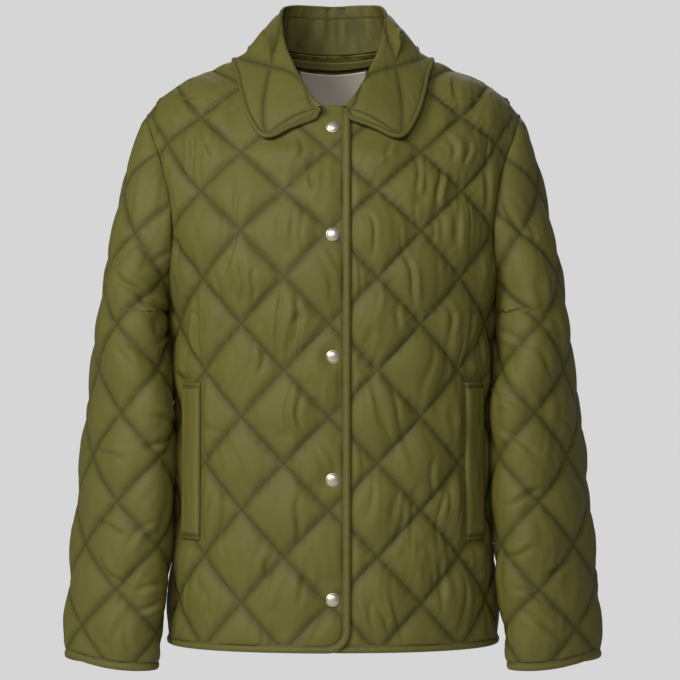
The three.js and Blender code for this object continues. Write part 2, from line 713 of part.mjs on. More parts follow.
const INNER_ARM = [0.55 * Math.PI, 0.75 * Math.PI];
function sleeveSheet(shift) {
  const sheet = new Sheet();
  sheet.rows = [];
  for (const row of sleeveRows) {
    if (row === TIP_ROW) {
      const out = point(0.45, 0, 0.9).normalize();
      const at = armholePoint(FRONT, row).addScaledVector(point(0.7, 0, -0.7), SEAM_GAP);
      const tip = [sheet.add({ s: 0, row, at, out, raise: 0 })];
      sheet.join(sheet.rows.at(-1), tip, -shift);
      sheet.rows.push(tip);
      continue;
    }
    const trace = traceSleeve(row);
    const closed = row <= UNDERARM_ROW;
    const columns = columnsBetween(trace[0].s, trace.at(-1).s, -shift);
    const indices = columns.map((s, i) => {
      const angle = angleAt(trace, s);
      const isEnd = i === 0 || i === columns.length - 1;
      let at = sleevePoint(row, angle);
      let out = sleeveNormal(row, angle);
      if (isEnd && !closed) {
        const side = angle > 0 ? FRONT : BACK;
        at = armholePoint(side, row);
        out = seamNormal(out, bodyNormal(side, at));
        const away = sleevePoint(row, angle * 0.9).sub(at).normalize();
        at.addScaledVector(away, SEAM_GAP);
      }
      const facing = smoothstep(Math.abs(angle), ...INNER_ARM);
      const low = smoothstep(UNDERARM_Z - at.z, -2 * ROW_STEP, 0);
      const share = lerp(1, facingPuff(at.z), facing * low);
      const onEdge = row === CUFF_ROW || row === UNDERARM_ROW || (isEnd && !closed);
      const raise = onEdge && (isEnd || row === CUFF_ROW) ? 0 : PUFF * puff(s + shift, row) * share;
      return sheet.add({ s, row, at, out, raise });
    });
    if (closed) {
      sheet.nodes.pop();
      indices[indices.length - 1] = indices[0];
    }
    if (sheet.rows.length) sheet.join(sheet.rows.at(-1), indices, -shift);
    sheet.rows.push(indices);
  }
  return sheet;
}

// Bindings: folded strips round the cloth's edges
const towards = (x, z) => (node) => node.at.clone().add(point(x, 0, z));
const chain = (sheet, indices, cloth) => indices.map((n) => ({ ...sheet.nodes[n], cloth }));

function edgeBinding(nodes, width, closed = false, sideways = 1, gap = SEAM_GAP) {
  const stations = bindingStations(nodes, (node) => node.cloth(node), closed);
  return stripGeometry(stations, bindingSection(width, gap), closed, sideways);
}

// From the neck down the front edge, round the corner and along the hem to the side seam
function frontBinding(sheet, sideways) {
  const edge = [];
  const neck = bodyRows.indexOf(FRONT_NECK_ROW);
  for (let i = neck; i >= cornerRows.length - 1; i--)
    edge.push(...chain(sheet, [sheet.rows[i][0]], towards(10, 0)));
  edge[0] = { ...edge[0], at: edge[0].at.clone().lerp(edge[1].at, 0.5) };
  edge.push(...chain(sheet, [sheet.rows[1][0]], towards(10, 10)));
  edge.push(...chain(sheet, sheet.rows[0], towards(0, 10)));
  return edgeBinding(edge, EDGE_BINDING, false, sideways);
}

function backHemBinding() {
  const half = chain(backHalf, backHalf.rows[0], towards(0, 10));
  const twin = half.slice(1).map((node) => {
    const copy = { ...node, at: node.at.clone(), out: node.out.clone() };
    copy.at.x *= -1;
    copy.out.x *= -1;
    return copy;
  });
  return edgeBinding([...twin.reverse(), ...half], EDGE_BINDING);
}

function cuffBinding(sheet, sideways) {
  const ring = chain(sheet, sheet.rows[0].slice(0, -1), towards(0, 10));
  return edgeBinding(ring, CUFF_BINDING, true, sideways);
}

// The collar: a stand from the neck seam up to the fold, and a fall from there to the edge
function neckPoint(side, x) {
  const off = Math.sqrt(Math.max(0, 1 - (x / NECK_HALF) ** 2));
  if (side === FRONT) return bodyPoint(FRONT, x, frontNeckZ * off);
  const wanted = RIDGE_Y + (backNeckY - RIDGE_Y) * off;
  const angle = bisect((a) => columnPoint(BACK, x, a).y > wanted, 0, Math.PI / 2);
  return columnPoint(BACK, x, angle);
}

function nearBody(p) {
  const side = p.y < RIDGE_Y ? FRONT : BACK;
  const at = p.z < ridgeZ(p.x) ? bodyPoint(side, p.x, p.z) : point(p.x, RIDGE_Y, ridgeZ(p.x));
  const out = bodyNormal(side, at);
  return { at, out, clear: p.clone().sub(at).dot(out) };
}

function liftOff(p, least) {
  for (let pass = 0; pass < 4; pass++) {
    const near = nearBody(p);
    if (near.clear < least) p.addScaledVector(near.out, least - near.clear);
  }
  return p;
}

const LIFT_END = 64;
const NECK_SIDE = [52, 68]; // the neck seam's sides, from here to there off the centre line
const STATION_PARTS = 2;
const STAND_ROWS = 3;
const FALL_ROWS = 4;
function collarProfile(station) {
  const side = station.foldY > RIDGE_Y ? BACK : FRONT;
  const neck = neckPoint(side, station.neckX);
  const overTop = side === FRONT ? TOP_LIFT * (1 - smoothstep(neck.x, PLAIN_EDGE, LIFT_END)) : 0;
  const atSide = NECK_SEAM_LIFT * smoothstep(neck.x, ...NECK_SIDE);
  neck.addScaledVector(bodyNormal(side, neck), NECK_SEAM_LIFT + overTop + atSide);
  const fold = point(station.foldX, station.foldY, station.foldZ);
  const edge = bodyPoint(side, station.edgeX, station.edgeZ);
  edge.addScaledVector(bodyNormal(side, edge), COLLAR_PROUD);
  const outward = edge.clone().sub(fold).setZ(0).normalize();
  const length = edge.distanceTo(fold);
  const roll = Math.min(COLLAR_ROLL, length / 4);
  const fall = new THREE.CubicBezierCurve3(
    fold,
    fold.clone().addScaledVector(outward, 2 * roll).add(point(0, 0, roll / 2)),
    edge.clone().lerp(fold, 0.4).addScaledVector(outward, roll),
    edge,
  );
  const profile = [];
  for (let j = 0; j < STAND_ROWS; j++) profile.push(neck.clone().lerp(fold, j / STAND_ROWS));
  for (let j = 0; j <= FALL_ROWS; j++) {
    const p = fall.getPoint(j / FALL_ROWS);
    profile.push(j > 1 ? liftOff(p, COLLAR_PROUD) : p);
  }
  return profile;
}

function collarSheet() {
  const whole = COLLAR_STATIONS.map(collarProfile);
  const lines = whole[0].map((_, j) => new THREE.CatmullRomCurve3(whole.map((line) => line[j])));
  const last = (whole.length - 1) * STATION_PARTS;
  const half = Array.from({ length: last + 1 }, (_, i) =>
    lines.map((line, j) => {
      const p = line.getPoint(i / last);
      return j > STAND_ROWS + 1 ? liftOff(p, COLLAR_PROUD) : p;
    }),
  );
  const at = (i, j) => {
    const p = half[Math.abs(i)][j].clone();
    if (i < 0) p.x *= -1;
    return p;
  };
  const top = STAND_ROWS + FALL_ROWS;
  const sheet = new Sheet();
  sheet.index = new Map();
  for (let i = -last; i <= last; i++)
    for (let j = 0; j <= top; j++) {
      const round = at(Math.min(i + 1, last), j).sub(at(Math.max(i - 1, -last), j));
      const up = at(i, Math.min(j + 1, top)).sub(at(i, Math.max(j - 1, 0)));
      const out = round.cross(up).normalize();
      const onEdge = Math.abs(i) === last || j === 0 || j === top;
      const row = j - STAND_ROWS;
      const s = (i * COLUMN_STEP) / STATION_PARTS;
      const raise = onEdge ? 0 : COLLAR_PUFF * puff(s, row);
      sheet.index.set(i + '_' + j, sheet.add({ s, row, at: at(i, j), out, raise }));
    }
  for (let j = 0; j < top; j++) {
    const rowOf = (n) =>
      Array.from({ length: 2 * last + 1 }, (_, i) => sheet.index.get(i - last + '_' + n));
    sheet.join(rowOf(j), rowOf(j + 1));
  }
  return sheet;
}

function collarBinding(sheet) {
  const last = (COLLAR_STATIONS.length - 1) * STATION_PARTS;
  const top = STAND_ROWS + FALL_ROWS;
  const places = [];
  for (let j = STAND_ROWS + 1; j < top; j++) places.push([-last, j]);
  for (let i = -last; i <= last; i++) places.push([i, top]);
  for (let j = top - 1; j > STAND_ROWS; j--) places.push([last, j]);
  const nodes = places.map(([i, j]) => {
    const inside = sheet.nodes[
      sheet.index.get(clamp(i, 1 - last, last - 1) + '_' + Math.min(j, top - 1))
    ].at;
    return { ...sheet.nodes[sheet.index.get(i + '_' + j)], cloth: () => inside };
  });
  return edgeBinding(nodes, COLLAR_BINDING, false, 1, 3 * SEAM_GAP);
}

// A patch on the panel, made from its points: rows of distances, each with its columns
function patch(rows, columns, placeOf, raiseOf) {
  const sheet = new Sheet();
  let below = null;
  rows.forEach((row, i) => {
    const indices = columns.map((column, j) => {
      const edge = i === 0 || j === 0 || i === rows.length - 1 || j === columns.length - 1;
      return sheet.add({ s: column, row: i, ...placeOf(row, column), raise: raiseOf(edge) });
    });
    if (below) sheet.join(below, indices);
    below = indices;
  });
  return sheet;
}

const spread = (from, to, count) =>
  Array.from({ length: count }, (_, i) => lerp(from, to, i / (count - 1)));

function pocketWelt() {
  const placeOf = (z, s) => {
    const at = placeAt(traceRow(FRONT, (z - CHEST_Z) / ROW_STEP, 0), s);
    const out = bodyNormal(FRONT, at);
    return { at: at.addScaledVector(out, SEAM_GAP), out };
  };
  const rows = spread(WELT.foot, WELT.top, 9);
  return patch(rows, spread(WELT.from, WELT.to, 4), placeOf, (edge) =>
    edge ? WELT.thick / 2 : WELT.thick,
  );
}

// A place inside the back, so far below the neck seam
function insideBack(x, below) {
  const table = columnTable(BACK, x);
  const neck = neckPoint(BACK, x);
  const seam = table.find((entry) => entry.at.y <= neck.y).length;
  const wanted = seam - below;
  const i = table.findIndex((entry) => entry.length >= wanted);
  const [from, to] = [table[i - 1], table[i]];
  const at = from.at.clone().lerp(to.at, (wanted - from.length) / (to.length - from.length));
  const out = bodyNormal(BACK, at);
  return { at: at.addScaledVector(out, -WALL - INSIDE_GAP), out };
}

function backPatch({ half, top, foot }, columns, rows) {
  const placeOf = (below, x) => insideBack(x, below);
  return patch(spread(foot, top, rows), spread(-half, half, columns), placeOf, () => 0);
}

function snapGeometry() {
  const profile = [
    [0, 0],
    [SNAP_RADIUS, 0],
    [SNAP_RADIUS, 1.1],
    [0.92 * SNAP_RADIUS, 2.2],
    [0.66 * SNAP_RADIUS, 0.9 * SNAP_HIGH],
    [0.3 * SNAP_RADIUS, SNAP_HIGH],
    [0, SNAP_HIGH],
  ];
  const points = profile.map(([r, h]) => new THREE.Vector2(r, h));
  const geometry = new THREE.LatheGeometry(points, 24);
  geometry.deleteAttribute('normal');
  geometry.deleteAttribute('uv');
  return mergeVertices(geometry, 1e-3);
}

const jacket = new THREE.Group();
jacket.name = 'quilted_jacket';
function addPiece(name, geometry, colour, roughness = 0.55, metalness = 0) {
  const material = new THREE.MeshStandardMaterial({ color: colour, roughness, metalness });
  const mesh = new THREE.Mesh(geometry, material);
  mesh.name = name;
  jacket.add(mesh);
  return mesh;
}

addPiece('front_right', rightFront.wall(-1), COLOURS.rightFront);
addPiece('front_left', leftFront.wall(1), COLOURS.leftFront);
addPiece('back_hem_binding', backHemBinding(), COLOURS.binding);
addPiece('back', backHalf.mirror().wall(1), COLOURS.backPanel);
addPiece('front_right_binding', frontBinding(rightFront, -1), COLOURS.binding);
addPiece('front_left_binding', frontBinding(leftFront, 1), COLOURS.binding);
for (const [name, sideways] of [
  ['right', -1],
  ['left', 1],
]) {
  const sleeve = sleeveSheet(SLEEVE_SHIFT[name]);
  addPiece('sleeve_' + name, sleeve.wall(sideways), COLOURS.sleeve);
  addPiece('cuff_binding_' + name, cuffBinding(sleeve, sideways), COLOURS.binding);
  addPiece('pocket_welt_' + name, pocketWelt().wall(sideways, 0), COLOURS.binding);
}

const collar = collarSheet();
addPiece('collar', collar.wall(), COLOURS.collar);
addPiece('collar_binding', collarBinding(collar), COLOURS.binding);
addPiece('neck_tape', backPatch(TAPE, 9, 3).wall(1, TAPE.thick), COLOURS.inside);
addPiece('label', backPatch(LABEL, 5, 4).wall(1, LABEL.thick), COLOURS.label, 0.8);

SNAP_LEVELS.forEach((z, i) => {
  const at = bodyPoint(FRONT, 0, z);
  const out = bodyNormal(FRONT, at);
  const snap = addPiece('snap_' + (i + 1), snapGeometry(), COLOURS.snap, 0.35, 0.9);
  snap.position.copy(at.addScaledVector(out, TOP_LIFT + SEAM_GAP));
  snap.quaternion.setFromUnitVectors(point(0, 1, 0), out);
});

export default jacket;
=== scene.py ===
"""A quilted jacket: its cloth, bindings, label and snaps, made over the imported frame.

The cloth panels are cut in the same way as the frame's solids: a row of the quilting is a
height, and s is the distance along the cloth from the panel's own starting line, in
millimetres. Each panel starts as a flat grid, is led onto the body and is then puffed,
stitched and creased.
"""
import math

import bmesh
import bpy
import numpy as np
from bpy.props import FloatProperty, FloatVectorProperty, PointerProperty
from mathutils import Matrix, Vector


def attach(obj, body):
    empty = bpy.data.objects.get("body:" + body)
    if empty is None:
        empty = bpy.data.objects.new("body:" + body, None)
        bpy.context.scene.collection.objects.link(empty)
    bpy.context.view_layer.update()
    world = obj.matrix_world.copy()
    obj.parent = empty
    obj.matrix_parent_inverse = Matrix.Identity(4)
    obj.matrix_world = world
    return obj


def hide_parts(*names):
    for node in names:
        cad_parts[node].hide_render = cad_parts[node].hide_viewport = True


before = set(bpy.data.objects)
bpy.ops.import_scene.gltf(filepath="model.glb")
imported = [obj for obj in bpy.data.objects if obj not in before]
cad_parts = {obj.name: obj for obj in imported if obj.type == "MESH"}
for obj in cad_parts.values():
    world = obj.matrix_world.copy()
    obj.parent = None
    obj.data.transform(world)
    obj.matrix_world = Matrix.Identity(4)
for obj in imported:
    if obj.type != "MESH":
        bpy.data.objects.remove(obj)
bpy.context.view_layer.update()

bl_info = {
    "name": "Quilted jacket",
    "version": (1, 0, 0),
    "blender": (4, 5, 0),
    "location": "3D View > Sidebar > Jacket",
    "description": "Makes the cloth, bindings and snaps of a quilted jacket over its frame",
    "category": "Object",
}

MM = 0.001
MIRROR = np.array([-1, 1, 1])

# Cloth
WALL = 2.5
HALF_WIDE = 48.5
HALF_HIGH = 50.3
COLUMN_STEP = HALF_WIDE / 2
ROW_STEP = HALF_HIGH / 2
LINE_SPACING = 69.8  # from one stitched line to the next, square across

# Body
ROUNDNESS = 2.3
RIDGE_Y = 8.0
NECK_HALF = 75.0
SHOULDER_TIP = 209.0
SHOULDER_SLOPE = math.tan(math.radians(21.5))
NAPE_RISE = 14.0
TIP_START = 160.0
TIP_DROP = 22.2
CHEST_Z = -208.0
HEM_Z = -663.0
TIP_ROW = 6.0
CHEST_ROW_SHARE = 0.86
FRONT_NECK_ROW = 6.5
BACK_NECK_ROW = 9.8
UNDERARM_Z = -295.0
UNDERARM_ROW = (UNDERARM_Z - CHEST_Z) / ROW_STEP

# Front opening
OVERLAP = 19.0
EDGE_BINDING = 8.0
CORNER_RADIUS = 16.0
TOP_LIFT = 3.4
UNDER_SINK = 1.0
PLAIN_EDGE = 30.0
LIFT_FADE = 30.0
RIGHT_SHIFT = 4.5
HEM_ROW = (HEM_Z + EDGE_BINDING - CHEST_Z) / ROW_STEP

# Sleeves
SLEEVE_ROW_STEP = 24.3
SLEEVE_LEAN = 0.42
CUFF_Z = -689.0
CUFF_BINDING = 9.0
CUFF_RISE = 11.0
RISE_START = 240.0
CUFF_ROW = UNDERARM_ROW + (CUFF_Z + CUFF_BINDING - UNDERARM_Z) / SLEEVE_ROW_STEP
CAP_ROW = TIP_ROW - 0.05
SEAM_FADE = 12.0
FACING_PUFF = 0.6
END_PULL = 2.5  # how late round the ring the armhole's shape is felt
UNDERARM_FADE = 90.0
UNDERARM_FRONT = 13.0
UNDERARM_BACK = 9.0
OUTER_FLAT = 0.45
OUTER_FLAT_WIDTH = 45.0
SLEEVE_SHIFT = {"right": 22.0, "left": 9.0}

# Small pieces
SNAP_LEVELS = (-96.0, -213.0, -344.0, -476.5, -605.5)
SNAP_PRESS = 13  # how far round a snap the cloth is pressed
WELT_FROM, WELT_TO = 156.0, 190.0
WELT_TOP, WELT_FOOT = -372.0, -545.0
WELT_THICK = 5.0
WELT_ROUND = 6
WELT_STITCHED = 5  # distance of the stitches from a welt's ends
WELT_SEEDS = {"right": 61, "left": 62}
PATCH_SEED = 77
COLLAR_BINDING = 5.0
COLLAR_PROUD = 9.0
NECK_SEAM_LIFT = 1.5
COLLAR_ROLL = 3.0
STAND_ROWS = 3
FALL_ROWS = 4
INSIDE_GAP = 1.3

# Level, half width, depth of the front, depth of the back
BODY_RINGS = (
    (20, 236, 120, 92),
    (-76, 228, 130, 96),
    (-110, 215, 133, 100),
    (-155, 203, 135, 105),
    (-200, 197, 137, 107),
    (-250, 188, 138, 106),
    (-295, 181, 138, 104),
    (-345, 176.5, 136, 101),
    (-410, 175, 135, 101),
    (-500, 176, 136, 108),
    (-590, 180, 138, 119),
    (-665, 184, 141, 127),
)
# Level, distance of the armhole seam from the centre line
ARMHOLE = (
    (-76, 209),
    (-94, 203),
    (-112, 196),
    (-155, 182),
    (-190, 177),
    (-236, 177),
    (-270, 179),
    (-295, 181),
)
# Level, outermost and innermost x, middle y, half depth, angle to the ends
SLEEVE_RINGS = (
    (-76, 209, 190, 8, 2, 90),
    (-85, 215, 188, 8, 22, 90),
    (-102, 221, 184, 8, 38, 92),
    (-136, 230, 180, 8, 54, 96),
    (-170, 237, 178, 7, 64, 102),
    (-204, 244, 179, 5, 70, 112),
    (-237, 251, 180, 3, 74, 124),
    (-270, 256, 181, 1, 75, 146),
    (-295, 259, 182.5, 0, 75, 180),
    (-340, 266, 182, -4, 76, 180),
    (-404, 275, 177, -11, 75, 180),
    (-471, 282, 176.5, -16, 71, 180),
    (-539, 289, 179, -22, 65, 180),
    (-606, 294, 185, -29, 56, 180),
    (-656, 297, 191, -34, 48, 180),
    (-689, 297, 194, -37, 43, 180),
)
# Neck seam x, fold x, y, z, and the outer edge's x and z, from the middle of the back
COLLAR_STATIONS = (
    (0, 0, 55, 53, 0, -30),
    (27, 24, 52, 53.5, 38, -29),
    (50, 43, 42, 52.5, 72, -29),
    (68, 55, 24, 48, 95, -31),
    (75, 57, 0, 33, 106, -17),
    (70, 54, -24, 10, 101, -35),
    (61, 49, -44, -8, 95, -60),
    (50, 41, -64, -26, 87, -84),
    (38, 31, -82, -46, 71, -105),
    (26, 20, -95, -63, 45, -95),
    (14, 11, -102, -72, 20, -86),
)


def smoothstep(value, low, high):
    t = np.clip((value - low) / (high - low), 0, 1)
    return t * t * (3 - 2 * t)


def mix(a, b, share):
    return a + (b - a) * share


def hump(value, width):
    """A smooth hump round 0"""
    return np.exp(-((value / width) ** 2))


def hermite(t, start, start_slope, end, end_slope):
    """A smooth way from start to end, with its slopes there"""
    return (
        start * (2 * t**3 - 3 * t**2 + 1)
        + start_slope * (t**3 - 2 * t**2 + t)
        + end * (3 * t**2 - 2 * t**3)
        + end_slope * (t**3 - t**2)
    )


def run_along(places):
    """Distances along a chain of places, from its first one"""
    steps = np.linalg.norm(np.diff(places, axis=0), axis=1)
    return np.concatenate([[0], np.cumsum(steps)])


def unit(vectors):
    return vectors / np.linalg.norm(vectors, axis=-1, keepdims=True)


def stacked(lines):
    """The first, second and further values of some lines, each as one array"""
    return [np.array(values) for values in zip(*lines)]


def bisect(is_before, low, high):
    for _ in range(34):
        middle = (low + high) / 2
        if is_before(middle):
            low = middle
        else:
            high = middle
    return (low + high) / 2


def smooth_column(table, column):
    """A reader of one column of a table, on a smooth curve through its rows"""
    rows = np.array(table, dtype=float)[::-1]
    levels, values = rows[:, 0], rows[:, column]
    slopes = np.empty_like(values)
    slopes[1:-1] = (values[2:] - values[:-2]) / (levels[2:] - levels[:-2])
    slopes[0] = (values[1] - values[0]) / (levels[1] - levels[0])
    slopes[-1] = (values[-1] - values[-2]) / (levels[-1] - levels[-2])

    def read(level):
        level = np.clip(level, levels[0], levels[-1])
        i = np.clip(np.searchsorted(levels, level) - 1, 0, len(levels) - 2)
        span = levels[i + 1] - levels[i]
        t = (level - levels[i]) / span
        return hermite(t, values[i], slopes[i] * span, values[i + 1], slopes[i + 1] * span)

    return read


half_width = smooth_column(BODY_RINGS, 1)
armhole_x = smooth_column(ARMHOLE, 1)
sleeve_outer, sleeve_inner, sleeve_mid, sleeve_deep, sleeve_open = (
    smooth_column(SLEEVE_RINGS, column) for column in range(1, 6)
)


def ridge_z(x):
    """Height of the shoulder line at a distance from the centre"""
    reach = np.abs(x)
    past = np.maximum(0, reach - TIP_START) / (SHOULDER_TIP - TIP_START)
    slope = -(reach - NECK_HALF) * SHOULDER_SLOPE - TIP_DROP * past**2
    return np.where(reach < NECK_HALF, NAPE_RISE * (1 - (reach / NECK_HALF) ** 2), slope)


def row_share(x):
    return mix(CHEST_ROW_SHARE, 1, smoothstep(np.abs(x), 150, 205))


X_STEPS = np.arange(0.0, 216.0)


class BodySide:
    """The front or the back of the body's cloth, without its puffs"""

    def __init__(self, sign, column, knee, profile):
        self.sign = sign
        self.depth = smooth_column(BODY_RINGS, column)
        self.knee = knee
        self.profile = profile
        start = self.angle(X_STEPS, CHEST_Z)
        share = np.linspace(0, 1, 241)
        self.angles = start[:, None] + (math.pi / 2 - start[:, None]) * share
        places = self.column(X_STEPS[:, None] + 0 * self.angles, self.angles)
        self.lengths = np.array([run_along(column) for column in places])
        self.known_rows = {}

    def deep(self, x, z):
        across = np.minimum(np.abs(x) / half_width(z), 1)
        return self.depth(z) * (1 - across**ROUNDNESS) ** (1 / ROUNDNESS)

    def column(self, x, angle):
        rise = np.clip(np.sin(angle), 0, 1) ** (2 / self.profile)
        reach = np.clip(np.cos(angle), 0, 1) ** (2 / self.profile)
        z = self.knee + (ridge_z(x) - self.knee) * rise
        deep = self.deep(x, z) - self.sign * RIDGE_Y
        return np.stack([x + 0 * z, RIDGE_Y + self.sign * deep * reach, z], axis=-1)

    def angle(self, x, z):
        rise = np.clip((z - self.knee) / (ridge_z(x) - self.knee), 0, 1)
        return np.arcsin(rise ** (self.profile / 2))

    def place(self, x, z):
        x, z = np.broadcast_arrays(np.asarray(x, float), np.asarray(z, float))
        low = np.stack([x, self.sign * self.deep(x, z), z], axis=-1)
        high = self.column(x, self.angle(x, z))
        return np.where((z <= self.knee)[..., None], low, high)

    def normals(self, places):
        """Outward normals of the plain body at places on it"""
        x, y, z = np.moveaxis(np.asarray(places, float), -1, 0)
        d = 0.5

        def level(x, y, z):
            across, deep = np.abs(x) / half_width(z), np.abs(y) / self.depth(z)
            return across**ROUNDNESS + deep**ROUNDNESS

        along_x = level(x + d, y, z) - level(x - d, y, z)
        along_y = level(x, y + d, z) - level(x, y - d, z)
        along_z = level(x, y, z + d) - level(x, y, z - d)
        ring = np.stack([along_x, along_y, along_z], axis=-1)
        angle = self.angle(x, z)
        up = self.column(x, np.minimum(angle + 0.02, math.pi / 2))
        up = up - self.column(x, np.maximum(angle - 0.02, 0))
        high = np.cross(self.column(x + 1, angle) - self.column(x - 1, angle), up) * -self.sign
        out = np.where((z <= self.knee)[..., None], ring, high)
        return unit(out)

    def row_angles(self, row):
        if row not in self.known_rows:
            wanted = row_length(self, row) * row_share(X_STEPS)
            columns = zip(wanted, self.lengths, self.angles)
            self.known_rows[row] = np.array([np.interp(*column) for column in columns])
        return self.known_rows[row]

    def row(self, x, row):
        """Places on one row of the quilting, at distances x from the centre line"""
        if row <= 0:
            return self.place(x, CHEST_Z + row * ROW_STEP)
        return self.column(x, np.interp(np.abs(x), X_STEPS, self.row_angles(row)))


def row_length(side, row):
    tip = np.interp(SHOULDER_TIP, X_STEPS, side.lengths[:, -1])
    if row <= TIP_ROW:
        return row * tip / TIP_ROW
    seam = shoulder_x(row)
    return np.interp(seam, X_STEPS, side.lengths[:, -1]) / row_share(seam)


FRONT = BodySide(-1, 2, -250.0, 1.75)
BACK = BodySide(1, 3, -230.0, 2.8)
ROWS_UP = TIP_ROW * FRONT.lengths[:, -1] / row_share(X_STEPS)
ROWS_UP /= np.interp(SHOULDER_TIP, X_STEPS, FRONT.lengths[:, -1])
NECK_POINT_ROW = float(np.interp(NECK_HALF, X_STEPS, ROWS_UP))


def shoulder_x(row):
    shoulder = (X_STEPS >= NECK_HALF - 1) & (X_STEPS <= SHOULDER_TIP)
    return float(np.interp(row, ROWS_UP[shoulder][::-1], X_STEPS[shoulder][::-1]))


def row_end(side, row):
    if row <= UNDERARM_ROW:
        return float(half_width(CHEST_Z + row * ROW_STEP))
    if row >= TIP_ROW:
        return shoulder_x(row)
    inside = lambda x: x < armhole_x(side.row(np.array([x]), row)[0, 2])
    return bisect(inside, NECK_HALF, SHOULDER_TIP + 4)


FRONT_NECK_Z = float(FRONT.row(np.zeros(1), FRONT_NECK_ROW)[0, 2])
BACK_NECK_Y = float(BACK.row(np.zeros(1), BACK_NECK_ROW)[0, 1])


def neck_level(side, places):
    """At least 1 outside the neckline"""
    across = (np.maximum(0, places[:, 0]) / NECK_HALF) ** 2
    if side is FRONT:
        off = places[:, 2] / FRONT_NECK_Z
    else:
        off = (places[:, 1] - RIDGE_Y) / (BACK_NECK_Y - RIDGE_Y)
    return across + np.maximum(0, off) ** 2


WAY_SHARES = np.linspace(0, 1, 241)


def way_across(side, row, start, share):
    """Places at shares of the way along a row, closer together towards its end"""
    x = start + (row_end(side, row) - start) * np.sin(math.pi / 2 * share)
    return side.row(x, row)


def trace_row(side, row, start):
    """Cloth distances along a row, and the first one outside the neckline"""
    places = way_across(side, row, start, WAY_SHARES)
    s = run_along(places) - max(0, -start)
    level = neck_level(side, places)
    first = s[0]
    if row > TIP_ROW and level[0] < 1 - 1e-6:
        cut = int(np.argmax(level >= 1))
        first = np.interp(1, level[cut - 1 : cut + 1], s[cut - 1 : cut + 1])
    return s, first


def places_on_row(side, row, start, shares):
    """Places and cloth distances at equal shares of a row, from its start to its end"""
    s, first = trace_row(side, row, start)
    wanted = mix(first, s[-1], shares)
    return way_across(side, row, start, np.interp(wanted, s, WAY_SHARES)), wanted


# Relief of the cloth


class Noise:
    """Smooth seeded noise from -1 to 1"""

    def __init__(self, seed):
        self.table = np.random.default_rng(seed).uniform(-1, 1, (64, 64))

    def at(self, a, b):
        a, b = np.broadcast_arrays(a, b)
        i, j = np.floor(a).astype(int), np.floor(b).astype(int)
        u, v = a - i, b - j
        u, v = u * u * (3 - 2 * u), v * v * (3 - 2 * v)
        value = lambda m, n: self.table[m % 64, n % 64]
        lower = mix(value(i, j), value(i + 1, j), u)
        upper = mix(value(i, j + 1), value(i + 1, j + 1), u)
        return mix(lower, upper, v)


def diamonds(s, row):
    """The two families of stitched lines lie where one of these is a whole number"""
    column, level = s / HALF_WIDE, row * ROW_STEP / HALF_HIGH
    return (column + level) / 2, (column - level) / 2


def to_line(value):
    """Distance in millimetres to the nearest stitched line of one family"""
    return np.abs(value - np.rint(value)) * LINE_SPACING


PUFF_LEAN = 0.35  # how far the top of a diamond may lie beside its middle
CREASE_APART, CREASE_LONG, CREASE_NARROW = 13, 62, 0.24
FINE_APART, FINE_LONG = 6.5, 34
PUCKER_APART, PUCKER_REACH = 4.2, 8
# Half width of the painted shade along the stitched lines, in millimetres
LINE_SHADE_HALF = 4.8


def quilt_relief(s, row, seed, sizes):
    """Height of the quilted puffs in millimetres, and a painted-shade mask along the stitched
    lines
    """
    one, other = diamonds(s, row)
    heights, leans = Noise(seed), Noise(seed + 1)
    cell_a, cell_b = np.floor(one), np.floor(other)
    fullness = 1 + sizes.unevenness * heights.at(cell_a * 3.37, cell_b * 5.11)
    lean = PUFF_LEAN * leans.at(cell_a * 2.71, cell_b * 4.19)
    part_a, part_b = one - cell_a, other - cell_b
    part_a = part_a + lean * part_a * (1 - part_a)
    part_b = part_b - lean * part_b * (1 - part_b)
    swell = np.sqrt(np.sin(math.pi * part_a) * np.sin(math.pi * part_b))
    near_a, near_b = to_line(one), to_line(other)
    folds = Noise(seed + 2)
    drift = 1.6 * folds.at(s / 60 + 9, row / 2.6)
    upright = folds.at(s / CREASE_APART + drift, row * ROW_STEP / CREASE_LONG)
    valley = hump(upright, CREASE_NARROW)
    where = smoothstep(folds.at(s / 34 + 31, row / 1.3 + 17), -0.35, 0.45)
    fine = folds.at(s / FINE_APART + 2 * drift, row * ROW_STEP / FINE_LONG + 5)
    creases = sizes.crease * ((0.35 - valley) * where * swell**0.8 + 0.3 * fine * swell**0.6)
    puckers = 0
    for near, run in ((near_a, other), (near_b, one)):
        wave = Noise(seed + 5).at(run * LINE_SPACING / PUCKER_APART, near / 30 + 7)
        puckers = puckers + wave * np.exp(-near / PUCKER_REACH) * (1 - np.exp(-near / 1.2))
    height = sizes.puff * fullness * swell - sizes.ditch + creases + sizes.pucker * puckers
    # Painted shade: a mask that darkens the cloth's colour along the stitched lines
    painted_shade = np.maximum(hump(near_a, LINE_SHADE_HALF), hump(near_b, LINE_SHADE_HALF))
    return height, painted_shade


def crease_relief(s, row, creases):
    """Folds at listed places: s, row, length, degrees from upright, width and depth"""
    height = 0
    level = row * ROW_STEP
    for at_s, at_row, length, turn, width, depth in creases:
        angle = math.radians(turn)
        off, up = s - at_s, level - at_row * ROW_STEP
        run = up * math.cos(angle) + off * math.sin(angle)
        across = off * math.cos(angle) - up * math.sin(angle)
        across = across + width * 0.6 * np.sin(run / length * 5 + at_s)
        fade = np.exp(-((run / (length / 2)) ** 4))
        ridge = hump(across - 2.1 * width, 1.3 * width)
        height = height + fade * depth * (0.55 * ridge - hump(across, width))
    return height


def edge_share(distance):
    """Fades the puffs towards a seam"""
    return np.sqrt(1 - np.exp(-np.maximum(distance, 0) / SEAM_FADE))


# Meshes


def grid_normals(places):
    """Normals of a grid of places, up to their sign"""
    normals = np.cross(np.gradient(places, axis=1), np.gradient(places, axis=0))
    length = np.linalg.norm(normals, axis=2, keepdims=True)
    return normals / np.maximum(length, 1e-9)


